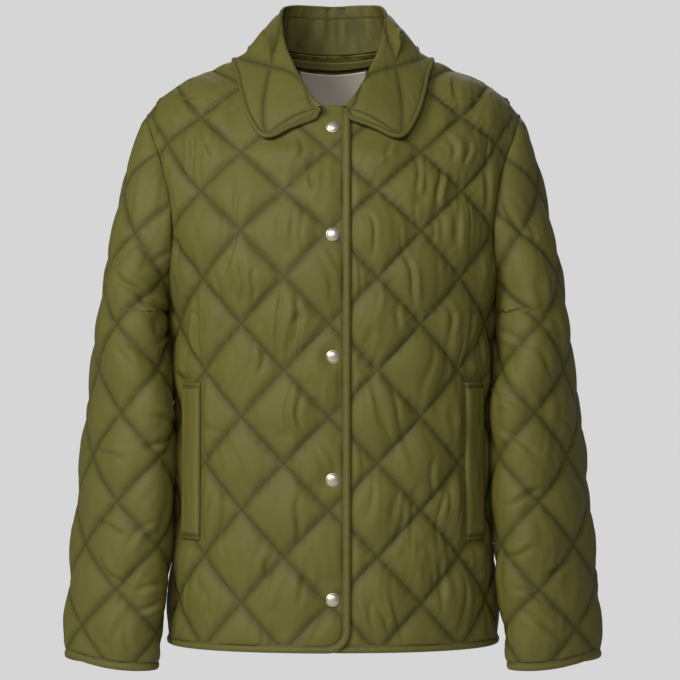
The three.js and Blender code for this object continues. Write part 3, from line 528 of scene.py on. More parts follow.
def outward_normals(places, probe, axis):
    """Normals of a grid, turned so that the one at probe points along an axis"""
    normals = grid_normals(places)
    return -normals if normals[probe][axis] < 0 else normals


def grid_mesh(made, places, cloth, painted_shade):
    """Adds a flat grid to a mesh in the making and leads it onto the places given"""
    rows, columns = places.shape[:2]
    first = len(made.verts)
    bmesh.ops.create_grid(made, x_segments=columns - 1, y_segments=rows - 1, size=0.5)
    uv = made.loops.layers.uv.get("cloth") or made.loops.layers.uv.new("cloth")
    # Each place carries a painted-shade mask that darkens the cloth's colour
    shade_layer = made.verts.layers.float.get("painted_shade") or made.verts.layers.float.new("painted_shade")
    made.verts.ensure_lookup_table()
    grid_places = {}
    for vert in made.verts[first:]:
        i = round((vert.co.y + 0.5) * (rows - 1))
        j = round((vert.co.x + 0.5) * (columns - 1))
        grid_places[vert] = (i, j)
        vert.co = Vector(places[i, j]) * MM
        vert[shade_layer] = painted_shade[i, j]
    faces = {face for vert in grid_places for face in vert.link_faces}
    for face in faces:
        face.smooth = True
        for loop in face.loops:
            i, j = grid_places[loop.vert]
            loop[uv].uv = (cloth[0][i, j] * MM, cloth[1][i, j] * MM)
    return list(faces)


def turn_outward(made, faces, outward):
    """Turns a sheet's faces to the side that outward gives for a place"""
    made.normal_update()
    agree = sum(face.normal.dot(outward(face.calc_center_median())) for face in faces)
    if agree < 0:
        bmesh.ops.reverse_faces(made, faces=faces)


def finish_piece(name, made, material, nodes, thickness=0.0, offset=-1.0):
    """Makes the object of a piece and lets it ride on the jacket"""
    mesh = bpy.data.meshes.new(name)
    made.to_mesh(mesh)
    made.free()
    obj = bpy.data.objects.new(name, mesh)
    bpy.context.scene.collection.objects.link(obj)
    mesh.materials.append(material)
    if thickness:
        solid = obj.modifiers.new("Thickness", "SOLIDIFY")
        solid.thickness = thickness * MM
        solid.offset = offset
    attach(obj, "root")
    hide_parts(*nodes)
    return obj


def finish_panel(node, made):
    """A quilted panel, as thick as its wall"""
    return finish_piece(
        "quilted_" + node, made, shell_material(), [node], WALL
    )


# Materials


class Shade:
    """A value in a material. Arithmetic on it adds Math nodes."""

    def __init__(self, finish, socket):
        self.finish = finish
        self.socket = socket

    def maths(self, operation, *values):
        inputs = dict(enumerate(values))
        return self.finish.node("ShaderNodeMath", {"operation": operation}, inputs)

    def __add__(self, other):
        return self.maths("ADD", self, other)

    def __sub__(self, other):
        return self.maths("SUBTRACT", self, other)

    def __mul__(self, other):
        return self.maths("MULTIPLY", self, other)

    def __truediv__(self, other):
        return self.maths("DIVIDE", self, other)

    def sine(self):
        return self.maths("SINE", self)


class Finish:
    """One material, made node by node"""

    def __init__(self, name, **constants):
        self.material = bpy.data.materials.new(name)
        self.material.use_nodes = True
        self.nodes = self.material.node_tree.nodes
        self.links = self.material.node_tree.links
        self.shader = self.nodes["Principled BSDF"]
        for socket, value in constants.items():
            self.shader.inputs[socket.replace("_", " ")].default_value = value

    def plug(self, socket, value):
        if isinstance(value, Shade):
            self.links.new(value.socket, socket)
        else:
            socket.default_value = value

    def node(self, kind, settings, inputs, output=0):
        made = self.nodes.new(kind)
        for name, value in settings.items():
            setattr(made, name, value)
        for name, value in inputs.items():
            self.plug(made.inputs[name], value)
        return Shade(self, made.outputs[output])

    def feed(self, socket, value):
        self.plug(self.shader.inputs[socket], value)

    def cloth_place(self):
        place = self.node("ShaderNodeUVMap", {"uv_map": "cloth"}, {})
        parts = self.nodes.new("ShaderNodeSeparateXYZ")
        self.links.new(place.socket, parts.inputs[0])
        return Shade(self, parts.outputs[0]), Shade(self, parts.outputs[1])

    def noise(self, scale, detail=2.0, stretch=(1, 1, 1)):
        place = self.node("ShaderNodeTexCoord", {}, {}, output=3)
        turned = self.node("ShaderNodeMapping", {}, {"Vector": place, "Scale": stretch})
        inputs = {"Vector": turned, "Scale": scale, "Detail": detail}
        return self.node("ShaderNodeTexNoise", {}, inputs)

    def colours(self, share, low, high):
        inputs = {"Factor": share, 6: low, 7: high}
        return self.node("ShaderNodeMix", {"data_type": "RGBA"}, inputs, output=2)

    def cloudy(self, colour, clouds, low, high):
        """A base colour from a low to a high share of one colour"""
        self.feed("Base Color", self.colours(clouds, tint(colour, low), tint(colour, high)))

    def bump(self, height, distance, strength):
        inputs = {"Height": height, "Distance": distance, "Strength": strength}
        return self.node("ShaderNodeBump", {}, inputs)


def tint(colour, share):
    return (colour[0] * share, colour[1] * share, colour[2] * share, 1.0)


def woven_height(finish, thread):
    """Height of a plain weave with threads so far apart, in metres"""
    u, v = finish.cloth_place()
    turn = 2 * math.pi / thread
    return (u * turn).sine() * (v * turn).sine()


NYLON_THREAD = 0.0009
LABEL_THREAD = 0.0011
# How much and how dark the painted shade makes the colour where its mask is full
PAINTED_SHADE_SHARE, PAINTED_SHADE_TINT = 0.62, 0.42


def cloth_finish(name, colour, thread, stitched):
    """Smooth nylon: an uneven colour, darkened by painted shade where its mask is set, with a
    fine weave
    """
    finish = Finish(name, Roughness=0.55, Specular_IOR_Level=0.22)
    cloudy = finish.noise(9.0, 3.0)
    worn = finish.noise(45.0, 3.0, (1, 1, 0.3))
    ground = finish.colours(cloudy, tint(colour, 0.9), tint(colour, 1.12))
    ground = finish.colours(worn * 0.25, ground, tint(colour, 1.3))
    # Painted shade: the mesh's mask darkens the colour; on stitched cloth it also weights the
    # stitches
    painted_shade = finish.node("ShaderNodeAttribute", {"attribute_name": "painted_shade"}, {}, output=2)
    ground = finish.colours(painted_shade * PAINTED_SHADE_SHARE, ground, tint(colour, PAINTED_SHADE_TINT))
    weave = woven_height(finish, NYLON_THREAD)
    ruffled = finish.noise(160.0, 3.0, (1, 1, 0.35))
    height = ruffled * 0.6 + weave * 0.12
    if stitched:
        dash = stitch_dashes(finish) * painted_shade
        ground = finish.colours(dash, ground, (*thread, 1.0))
        height = height + dash * 0.6
    finish.feed("Base Color", ground)
    finish.feed("Roughness", worn * 0.12 + 0.48)
    finish.feed("Normal", finish.bump(height, 0.0006, 0.5))
    return finish.material


STITCH_LENGTH = 0.0034
STITCH_SHOWN = 0.72  # share of a stitch's length that lies on top
THREAD_HALF = 0.00035


def stitch_dashes(finish):
    """The stitches of the quilting, from the cloth's own measure"""
    u, v = finish.cloth_place()
    across = u / (2 * HALF_WIDE * MM)
    up = v / (2 * HALF_HIGH * MM)
    dashes = None
    for line, run in ((across + up, across - up), (across - up, across + up)):
        off = line.maths("PINGPONG", line, 0.5) * (LINE_SPACING * MM)
        thread = off.maths("LESS_THAN", off, THREAD_HALF)
        beat = run * (LINE_SPACING * MM / STITCH_LENGTH)
        dash = thread * beat.maths("LESS_THAN", beat.maths("FRACT", beat), STITCH_SHOWN)
        dashes = dash if dashes is None else dashes.maths("MAXIMUM", dashes, dash)
    return dashes


# The jacket's own sizes and colours


def millimetres(name, description, default, low, high):
    return FloatProperty(name=name, description=description, default=default, min=low, max=high)


def colour_property(name, description, default):
    return FloatVectorProperty(
        name=name, description=description, default=default, subtype="COLOR", size=3, min=0, max=1
    )


class QuiltSizes(bpy.types.PropertyGroup):
    """Sizes of the quilting, in millimetres"""

    puff: millimetres("Puff", "Height of a full diamond over its stitches (mm)", 9.0, 1, 14)
    ditch: millimetres("Ditch", "Depth of the stitched lines under plain cloth (mm)", 1.4, 0, 3)
    unevenness: millimetres("Unevenness", "How much the diamonds' fullness differs", 0.16, 0, 0.6)
    crease: millimetres("Crease", "Depth of the upright creases (mm)", 3.2, 0, 6)
    pucker: millimetres("Pucker", "Depth of the puckers along the stitches (mm)", 1.2, 0, 3)


class JacketColours(bpy.types.PropertyGroup):
    """Colours of the jacket's cloths and metal"""

    shell: colour_property("Shell", "Nylon of the quilted panels", (0.138, 0.126, 0.026))
    binding: colour_property("Binding", "Folded strip along the edges", (0.14, 0.127, 0.028))
    thread: colour_property("Thread", "Sewing thread", (0.034, 0.03, 0.007))
    tape: colour_property("Tape", "Neck tape", (0.16, 0.145, 0.04))
    label: colour_property("Label", "Bare woven label", (0.95, 0.9, 0.78))
    metal: colour_property("Metal", "Caps of the snaps", (0.9, 0.84, 0.66))
    floor: colour_property("Floor", "Floor under the jacket", (0.75, 0.75, 0.75))


def sizes():
    return bpy.context.scene.jacket_sizes


def colours():
    return bpy.context.scene.jacket_colours


def known_material(name, make):
    return bpy.data.materials.get(name) or make(name)


def shell_material():
    make = lambda name: cloth_finish(name, colours().shell, tuple(colours().thread), True)
    return known_material("shell_nylon", make)


def binding_material():
    make = lambda name: cloth_finish(name, colours().binding, tuple(colours().thread), False)
    return known_material("binding_nylon", make)


# Body panels

FRONT_COLUMNS = 124
BACK_COLUMNS = 92
SLEEVE_COLUMNS = 112
ROW_FINENESS = 0.11
HIDDEN_NECK = 0.06  # rows of the panels that stay short of the neck point
FRONT_SEEDS = {"right": 11, "left": 47}
BACK_SEED = 83
SLEEVE_SEEDS = {"right": 131, "left": 173}
FRONT_SIDE = Vector((0, -1, 0))
BACK_SIDE = Vector((0, 1, 0))

# Distance from the centre line, row, length, degrees from upright, width and depth
FRONT_CREASES = {
    "right": (
        (158, 3.7, 50, -3, 3.4, 3.4),
        (136, 4.2, 26, 4, 2.8, 2.6),
        (34, 4.3, 36, -2, 3.0, 3.2),
        (22, 2.3, 30, 2, 2.8, 1.8),
        (96, -2.1, 44, 3, 3.4, 2.2),
        (85, -2.3, 30, -4, 2.8, 2.8),
        (105, -2.6, 30, 5, 3.0, 2.0),
        (39, -3.9, 52, -5, 3.2, 3.4),
        (157, -4.1, 56, 4, 3.6, 2.6),
        (127, -2.5, 28, 0, 3.0, 1.8),
        (148, -7.8, 40, 3, 3.2, 2.0),
        (77, -5.6, 30, -3, 3.0, 1.8),
        (36, -7.9, 38, 2, 3.0, 1.8),
        (121, -12.0, 44, -4, 3.2, 2.0),
        (36, -12.2, 44, 3, 3.2, 1.8),
        (71, -14.9, 42, -2, 3.2, 2.0),
        (138, -16.0, 36, 5, 3.0, 2.0),
        (32, 0.6, 60, 2, 3.6, 1.5),
        (31, -6.0, 52, -2, 3.6, 1.6),
        (33, -10.0, 56, 2, 3.8, 1.5),
        (32, -15.0, 60, -2, 3.6, 1.5),
    ),
    "left": (
        (60, 4.1, 24, 2, 3.2, 2.8),
        (92, 2.8, 46, -2, 3.0, 2.8),
        (116, 2.2, 44, 3, 3.2, 3.6),
        (131, 4.2, 32, -6, 3.4, 3.0),
        (149, 4.0, 30, 4, 3.0, 2.8),
        (178, 3.8, 28, -3, 3.0, 2.6),
        (85, -2.2, 44, -12, 2.8, 3.0),
        (70, -3.6, 28, 8, 3.0, 2.2),
        (130, -3.8, 32, -6, 3.4, 3.0),
        (160, -5.2, 34, 14, 3.2, 2.8),
        (180, -5.1, 28, -3, 3.0, 2.2),
        (46, -5.6, 30, 3, 3.0, 1.6),
        (108, -10.6, 38, -3, 3.2, 2.2),
        (73, -12.5, 38, 5, 3.2, 2.0),
        (119, -15.0, 42, 2, 3.4, 2.4),
        (56, -16.3, 30, -4, 3.0, 1.8),
    ),
}
BACK_CREASES = (
    (-150, 3.6, 46, 3, 3.4, 3.0),
    (-96, 2.4, 40, -4, 3.0, 2.4),
    (-30, -2.2, 44, 2, 3.2, 2.4),
    (-118, -4.0, 50, -3, 3.4, 2.8),
    (-62, -8.1, 40, 4, 3.2, 2.0),
    (-140, -12.2, 44, -2, 3.2, 2.2),
    (-24, -14.8, 42, 3, 3.2, 2.0),
    (44, 3.9, 34, -3, 3.0, 2.6),
    (122, 2.3, 46, 3, 3.2, 3.2),
    (166, 3.8, 30, -4, 3.0, 2.6),
    (78, -2.3, 44, 5, 3.0, 2.6),
    (148, -5.0, 38, -5, 3.4, 2.6),
    (30, -8.0, 36, 2, 3.0, 1.8),
    (104, -12.4, 40, -4, 3.2, 2.2),
    (60, -16.2, 34, 3, 3.0, 2.0),
)


def front_edge(row):
    """Where the front's free edge lies on a row, with its round lower corner"""
    edge = -(OVERLAP - EDGE_BINDING)
    up = (row - HEM_ROW) * ROW_STEP
    if up >= CORNER_RADIUS:
        return edge
    return edge + CORNER_RADIUS - math.sqrt(CORNER_RADIUS**2 - (CORNER_RADIUS - up) ** 2)


def panel_rows(neck_row, with_corner):
    """Levels of a fine grid's rows, closer together round the corner and at the neck"""
    turns = np.radians(np.linspace(90, 0, 9))
    corner = HEM_ROW + CORNER_RADIUS * (1 - np.sin(turns)) / ROW_STEP
    start = corner[-1] if with_corner else HEM_ROW
    count = int(round((neck_row - start) / ROW_FINENESS))
    middle = np.linspace(start, neck_row, count + 1)
    top_row = NECK_POINT_ROW - HIDDEN_NECK
    count = int(round((top_row - neck_row) / ROW_FINENESS))
    top = neck_row + (top_row - neck_row) * (np.arange(1, count + 1) / count) ** 1.7
    lower = [corner[:-1]] if with_corner else []
    return np.concatenate([*lower, middle, top])


SIDE_FROM, SIDE_TO = 158, 172  # where the puffs of the body's sides begin to be pressed
TIP_FROM, TIP_TO = 150, 196
UNDER_COLLAR_X, UNDER_COLLAR_FRONT, UNDER_COLLAR_BACK = 104, -104.0, -36.0
WELT_PRESS = 14  # how far round a welt the cloth is pressed


def facing_share(z):
    """Less puff where the sleeves and the body's sides lie against each other"""
    under_arm = mix(1.3, 1, smoothstep(UNDERARM_Z - z, 2 * ROW_STEP, 5 * ROW_STEP))
    return mix(FACING_PUFF, 0.8, smoothstep(-z, 540, 620)) * under_arm


def side_share(places):
    z, x = places[..., 2], np.abs(places[..., 0])
    low = smoothstep(UNDERARM_Z + 2 * ROW_STEP - z, 0, ROW_STEP)
    return mix(1, mix(1, facing_share(z), smoothstep(x, SIDE_FROM, SIDE_TO)), low)


def tip_share(places):
    """Less puff on the tips of the shoulders"""
    x, z = np.abs(places[..., 0]), places[..., 2]
    return 1 - 0.6 * smoothstep(x, TIP_FROM, TIP_TO) * smoothstep(z, -140, -96)


def collar_share(places):
    """Pressed flat under the collar"""
    level = np.where(places[..., 1] < RIDGE_Y, UNDER_COLLAR_FRONT, UNDER_COLLAR_BACK)
    across = smoothstep(np.abs(places[..., 0]) - UNDER_COLLAR_X, 0, COLUMN_STEP)
    down = smoothstep(level - places[..., 2], 0, ROW_STEP)
    return mix(0.15, 1, np.maximum(across, down))


def welt_share(s, row):
    """Pressed flat under the pocket welts"""
    z = CHEST_Z + row * ROW_STEP
    across = np.maximum(WELT_FROM - s, s - WELT_TO)
    along = np.maximum(WELT_FOOT - z, z - WELT_TOP)
    return smoothstep(np.maximum(across, along), 0, WELT_PRESS)


def snap_share(places):
    """The snaps press the cloth around them"""
    share = 1
    for level in SNAP_LEVELS:
        off = np.hypot(places[..., 0], places[..., 2] - level)
        share = share * (1 - 0.9 * hump(off, SNAP_PRESS))
    return share


def half_panel(side, rows, columns, start_of):
    """Places, cloth distances, rows and normals of half of a body panel"""
    shares = np.linspace(0, 1, columns + 1)
    places, s = stacked(places_on_row(side, row, start_of(row), shares) for row in rows)
    level = np.repeat(rows[:, None], columns + 1, axis=1)
    return places, s, level, side.normals(places)


def between_seams(s):
    """Distance along the cloth from the nearer end of each row"""
    return np.minimum(s[:, -1:] - s, s - s[:, :1])


def body_share(places, level):
    """Less puff at the sides, the shoulders' tips, the collar and the hem"""
    share = side_share(places) * tip_share(places) * collar_share(places)
    return share, edge_share((level - HEM_ROW) * ROW_STEP + 1)


def front_lift(name):
    """The top front's edge stands off the plain body, the other one's lies in"""
    return TOP_LIFT if name == "right" else -UNDER_SINK


def make_front(name):
    """One front, from the free edge to the side seam"""
    rows = panel_rows(FRONT_NECK_ROW, True)
    places, s, level, normals = half_panel(FRONT, rows, FRONT_COLUMNS, front_edge)
    top = name == "right"
    shift = RIGHT_SHIFT if top else 0.0
    height, painted_shade = quilt_relief(s - shift, level, FRONT_SEEDS[name], sizes())
    height = height + crease_relief(s, level, FRONT_CREASES[name])
    share, above_hem = body_share(places, level)
    share = share * welt_share(s, level) * edge_share(between_seams(s)) * above_hem
    share = share * (snap_share(places) if top else smoothstep(s, 15, 30))
    lift = front_lift(name) * (1 - smoothstep(s, PLAIN_EDGE, PLAIN_EDGE + LIFT_FADE))
    places = places + normals * (height * share + lift)[..., None]
    if top:
        places[..., 0] *= -1
    made = bmesh.new()
    faces = grid_mesh(made, places, (s - shift, level * ROW_STEP), painted_shade)
    turn_outward(made, faces, lambda at: FRONT_SIDE)
    piece = finish_panel("front_" + name, made)


def make_back():
    """The back in one piece, from side seam to side seam"""
    rows = panel_rows(BACK_NECK_ROW, False)
    places, s, level, normals = half_panel(BACK, rows, BACK_COLUMNS, lambda row: 0.0)
    normals[:, 0, 0] = np.where(rows <= BACK_NECK_ROW, 0, normals[:, 0, 0])
    share, above_hem = body_share(places, level)
    share = share * edge_share(s[:, -1:] - s) * above_hem
    made = bmesh.new()
    for sideways in (1, -1):
        height, painted_shade = quilt_relief(s * sideways, level, BACK_SEED, sizes())
        height = height + crease_relief(s * sideways, level, BACK_CREASES)
        raised = places + normals * (height * share)[..., None]
        raised[..., 0] *= sideways
        faces = grid_mesh(made, raised, (s * sideways, level * ROW_STEP), painted_shade)
        turn_outward(made, faces, lambda at: BACK_SIDE)
    middle = [vert for vert in made.verts if abs(vert.co.x) < 1e-6]
    bmesh.ops.remove_doubles(made, verts=middle, dist=1e-6)
    piece = finish_panel("back", made)


# Sleeves


def armhole_place(side, row):
    return side.row(np.array([row_end(side, row)]), row)[0]


def sleeve_ring(row):
    """The ring of a sleeve's row: its level, its half opening and the armhole's places"""
    if row <= UNDERARM_ROW:
        z = UNDERARM_Z + (row - UNDERARM_ROW) * SLEEVE_ROW_STEP
        return z, math.pi, None
    ends = (armhole_place(FRONT, row), armhole_place(BACK, row))
    z = (ends[0][2] + ends[1][2]) / 2
    return z, math.radians(min(180.0, float(sleeve_open(z)))), ends


def on_sleeve(ring, angle):
    """Places on a sleeve's ring, from angle 0 outermost, with the front's angles above 0"""
    z, half_open, ends = ring
    centre = (sleeve_outer(z) + sleeve_inner(z)) / 2
    reach = (sleeve_outer(z) - sleeve_inner(z)) / 2
    lean = reach * SLEEVE_LEAN * smoothstep(UNDERARM_Z - z, 0, 100)
    wide = math.sqrt(reach**2 - lean**2)
    rise = CUFF_RISE * smoothstep(UNDERARM_Z - z, RISE_START, UNDERARM_Z - CUFF_Z)

    def plain(turn):
        x = centre + wide * np.cos(turn) - lean * np.sin(turn)
        y = sleeve_mid(z) - sleeve_deep(z) * np.sin(turn)
        return np.stack([x, y, z + rise * ((1 + np.cos(turn)) / 2) ** 4], axis=-1)

    places = plain(angle)
    if ends is None:
        fade = 1 - smoothstep(UNDERARM_Z - z, 0, UNDERARM_FADE)
        turned = np.abs(angle)
        share = (turned / math.pi) ** END_PULL * (1 - smoothstep(turned, 2.4, math.pi))
        places[..., 1] += fade * share * np.where(angle > 0, -UNDERARM_FRONT, UNDERARM_BACK)
        return places
    share = (np.clip(np.abs(angle) / half_open, 0, 1.2) ** END_PULL)[..., None]
    front = ends[0] - plain(np.array(half_open))
    back = ends[1] - plain(np.array(-half_open))
    return places + np.where((angle > 0)[..., None], front, back) * share


SLEEVE_CREASES = {
    "right": (
        (73, 3.3, 74, -35, 3.6, 3.0),
        (88, -2.4, 44, -49, 3.6, 4.6),
        (128, -3.2, 65, -76, 3.8, 4.8),
        (146, -4.6, 50, 77, 3.2, 3.0),
        (87, -5.6, 38, -24, 3.4, 2.6),
        (148, -8.5, 70, -77, 3.4, 4.2),
        (129, -9.3, 44, 65, 3.4, 4.0),
        (63, -9.9, 42, -77, 3.2, 3.6),
        (67, -13.2, 42, -73, 3.2, 3.6),
        (102, -13.4, 38, 42, 3.2, 2.8),
        (70, -15.3, 46, -44, 3.2, 2.8),
        (88, -15.9, 60, 29, 3.2, 2.6),
        (114, -15.8, 28, 83, 3.0, 3.6),
        (113, -16.7, 28, 75, 3.0, 3.6),
        (-40, -2.6, 46, 62, 3.4, 3.0),
        (-64, -6.8, 50, -58, 3.4, 3.2),
        (-96, -10.2, 42, 70, 3.2, 3.4),
        (-52, -13.6, 40, 66, 3.2, 3.0),
        (-118, -4.2, 52, -70, 3.4, 3.4),
        (-90, -16.0, 40, -60, 3.2, 2.8),
    ),
    "left": (
        (92, 0.6, 44, 12, 3.4, 2.8),
        (106, -3.2, 46, 74, 3.4, 3.6),
        (120, -4.6, 42, 69, 3.2, 3.2),
        (82, -5.7, 38, 36, 3.2, 2.4),
        (122, -7.4, 34, 67, 3.2, 3.0),
        (108, -9.3, 44, 52, 3.2, 3.0),
        (32, -8.9, 42, 56, 3.2, 2.2),
        (104, -11.8, 40, -66, 3.2, 3.0),
        (109, -14.3, 28, -68, 3.0, 3.6),
        (60, -15.0, 44, -71, 3.2, 2.6),
        (95, -16.2, 32, 66, 3.0, 3.0),
        (82, -17.6, 54, 57, 3.2, 3.2),
        (-44, -3.4, 48, -64, 3.4, 3.0),
        (-74, -7.6, 46, 58, 3.4, 3.0),
        (-104, -11.4, 44, -68, 3.2, 3.4),
        (-60, -14.8, 40, 62, 3.2, 2.8),
        (-120, -5.2, 50, 72, 3.4, 3.2),
        (-86, -16.6, 36, 58, 3.2, 2.8),
    ),
}


HALF_TRACE = 180  # steps of a sleeve's ring on each side of its outermost place
SLEEVE_MIDDLE = (0.225, -0.01)  # x and y of a place inside the sleeve, in metres


def places_on_sleeve(row, shares):
    """Places and cloth distances at equal shares of a sleeve's row, from back to front"""
    ring = sleeve_ring(row)
    angles = np.linspace(ring[1], -ring[1], 2 * HALF_TRACE + 1)
    run = run_along(on_sleeve(ring, angles))
    run = run[HALF_TRACE] - run
    wanted = mix(run[-1], run[0], shares)
    return on_sleeve(ring, np.interp(wanted, run[::-1], angles[::-1])), wanted


def make_sleeve(name):
    """One sleeve, from its cap to the cuff, closed along the inner arm"""
    lower = np.linspace(CUFF_ROW, UNDERARM_ROW, 142)
    upper = np.linspace(UNDERARM_ROW, CAP_ROW, 88)[1:]
    rows = np.concatenate([lower, upper])
    shares = np.linspace(0, 1, SLEEVE_COLUMNS + 1)
    places, s = stacked(places_on_sleeve(row, shares) for row in rows)
    level = np.repeat(rows[:, None], SLEEVE_COLUMNS + 1, axis=1)
    normals = outward_normals(places, (100, SLEEVE_COLUMNS // 2), 0)
    closed = rows <= UNDERARM_ROW
    both = unit(normals[closed, 0] + normals[closed, -1])
    normals[closed, 0] = both
    normals[closed, -1] = both
    shift = SLEEVE_SHIFT[name]
    height, painted_shade = quilt_relief(s + shift, level, SLEEVE_SEEDS[name], sizes())
    height = height + crease_relief(s, level, SLEEVE_CREASES[name])
    z = places[..., 2]
    inner = smoothstep(np.abs(s) / np.abs(s[:, :1]), 0.55, 0.75)
    low = smoothstep(UNDERARM_Z - z, -2 * ROW_STEP, 0)
    share = mix(1, facing_share(z), inner * low) * (1 - 0.6 * smoothstep(z, -150, -105))
    share = share * (1 - OUTER_FLAT * hump(s, OUTER_FLAT_WIDTH))
    share = share * edge_share(between_seams(s))
    share = share * edge_share((level - CUFF_ROW) * SLEEVE_ROW_STEP + 1)
    share = share * edge_share((CAP_ROW - level) * ROW_STEP)
    places = places + normals * (height * share)[..., None]
    sideways = -1 if name == "right" else 1
    places[..., 0] *= sideways
    made = bmesh.new()
    faces = grid_mesh(made, places, (s + shift, level * ROW_STEP), painted_shade)
    middle = Vector((sideways * SLEEVE_MIDDLE[0], SLEEVE_MIDDLE[1], 0))
    turn_outward(made, faces, lambda at: (at - middle) * Vector((1, 1, 0)))
    low_verts = [v for v in made.verts if v.co.z < (UNDERARM_Z + 0.5) * MM and v.is_boundary]
    bmesh.ops.remove_doubles(made, verts=low_verts, dist=2e-5)
    piece = finish_panel("sleeve_" + name, made)


# Bindings

BINDING_STEP = 2.4
BINDING_SHORT = 0.2  # how far the hem's bindings stay short of the side seams
BINDING_UNEVEN = 0.35
BINDING_SEEDS = {"right": 7, "left": 8}
TRACE_PAST = 4.0  # rows are traced from so far outside a binding's own line


def strip(made, places, normals, across, section):
    """A closed strip: a section of across and outward distances, led along places"""
    rows = len(section) + 1
    ring = np.array([*section, section[0]])
    grid = (
        places[None]
        + across[None] * ring[:, 0][:, None, None]
        + normals[None] * ring[:, 1][:, None, None]
    )
    run = run_along(places)
    cloth = (np.tile(run, (rows, 1)), np.repeat(ring[:, 0][:, None], len(run), axis=1))
    # Painted shade along the binding's top beside its stitched edge
    painted_shade = np.where((ring[:, 1] > 0) & (ring[:, 0] < 2.5), 0.7, 0.0)
    grid_mesh(made, grid, cloth, np.repeat(painted_shade[:, None], len(run), axis=1))


def bind(name, node, chain, section, unevenness, closed=False):
    """A binding along a chain of places, normals and directions away from the cloth"""
    places, normals, across = chain
    seed, lane, depth = unevenness
    uneven = depth * Noise(seed).at(np.arange(len(places)) * BINDING_STEP / 5.5, lane)
    if closed:
        uneven[-1] = uneven[0]
    made = bmesh.new()
    strip(made, places + normals * uneven[:, None], normals, across, section)
    bmesh.ops.remove_doubles(made, verts=made.verts[:], dist=2e-6)
    if not closed:
        open_edges = [edge for edge in made.edges if edge.is_boundary]
        bmesh.ops.holes_fill(made, edges=open_edges, sides=0)
    bmesh.ops.recalc_face_normals(made, faces=made.faces[:])
    for face in made.faces:
        face.smooth = True
    finish_piece(name, made, binding_material(), [node])


def binding_section(width, overlap=0.8, high=2.0):
    """Section of a folded binding: its stitched edge lies on the cloth, its fold is round"""
    inner = -WALL - 1.0
    outer = [
        (-overlap, 0.35),
        (-overlap + 0.5, 0.9),
        (-overlap + 1.3, 0.75),
        (-overlap + 2.2, 1.1),
        (0.35 * width, high),
        (0.7 * width, 0.9 * high),
    ]
    turn = np.radians(np.linspace(60, -60, 7))
    middle, reach = inner / 2 + 0.35 * high, (0.85 * high - inner) / 2
    flat = reach * 0.9
    fold = [(width - flat + flat * math.cos(t), middle + reach * math.sin(t)) for t in turn]
    under = [
        (0.6 * width, inner),
        (0.2 * width, inner),
        (-overlap, inner + 0.6),
        (-overlap - 0.2, -1.2),
    ]
    return outer + fold + under


def away_from_cloth(places, normals, towards_cloth):
    """Directions away from the cloth, square to a chain and to its normals"""
    across = unit(np.cross(unit(np.gradient(places, axis=0)), normals))
    across[np.sum(across * towards_cloth, axis=1) > 0] *= -1
    return across


def even_chain(points):
    """Places, normals and directions away from the cloth, evenly spaced, from rough points"""
    places, normals, cloth = stacked(points)
    run = run_along(places)
    wanted = np.linspace(0, run[-1], max(8, int(run[-1] / BINDING_STEP)) + 1)

    def even(values):
        return np.stack([np.interp(wanted, run, values[:, k]) for k in range(3)], axis=1)

    places, normals = even(places), unit(even(normals))
    return places, normals, away_from_cloth(places, normals, even(cloth))


def body_frame(side, row, s_wanted, start):
    """Places on the body's cloth and their normals, at cloth distances on a row"""
    s, _ = trace_row(side, row, start)
    places = way_across(side, row, start, np.interp(s_wanted, s, WAY_SHARES))
    return places, side.normals(places)


def make_front_binding(name):
    """From the neck down the free edge, round the corner and along the hem"""
    lift = front_lift(name)
    points = []
    edge = -(OVERLAP - EDGE_BINDING)
    corner_row = HEM_ROW + CORNER_RADIUS / ROW_STEP

    def add(row, s, towards):
        place, normal = body_frame(FRONT, row, s, edge - TRACE_PAST)
        fade = 1 - float(smoothstep(s, PLAIN_EDGE, PLAIN_EDGE + LIFT_FADE))
        points.append((place + normal * lift * fade, normal, np.array(towards, float)))

    for row in np.linspace(FRONT_NECK_ROW - 0.1, corner_row, 150):
        add(row, edge, (1, 0, 0))
    for turn in np.radians(np.linspace(0, 90, 12))[1:-1]:
        off = CORNER_RADIUS * (1 - math.cos(turn))
        up = CORNER_RADIUS * (1 - math.sin(turn))
        add(HEM_ROW + up / ROW_STEP, edge + off, (math.cos(turn), 0, math.sin(turn)))
    end = trace_row(FRONT, HEM_ROW, 0.0)[0][-1]
    for s in np.linspace(edge + CORNER_RADIUS, end - BINDING_SHORT, 120):
        add(HEM_ROW, s, (0, 0, 1))
    chain = even_chain(points)
    if name == "right":
        chain = [part * MIRROR for part in chain]
    node = f"front_{name}_binding"
    section = binding_section(EDGE_BINDING)
    bind("bound_" + node, node, chain, section, (BINDING_SEEDS[name], 0.3, BINDING_UNEVEN))


def make_back_binding():
    """Along the back's hem, from side seam to side seam"""
    end = trace_row(BACK, HEM_ROW, 0.0)[0][-1]
    along = np.linspace(0, end - BINDING_SHORT, 120)
    half = [body_frame(BACK, HEM_ROW, s, -TRACE_PAST) for s in along]
    whole = [(place * MIRROR, normal * MIRROR) for place, normal in half[:0:-1]] + half
    up = np.array([0, 0, 1.0])
    chain = even_chain([(place, normal, up) for place, normal in whole])
    section = binding_section(EDGE_BINDING)
    bind("bound_back_hem", "back_hem_binding", chain, section, (9, 0.3, BINDING_UNEVEN))


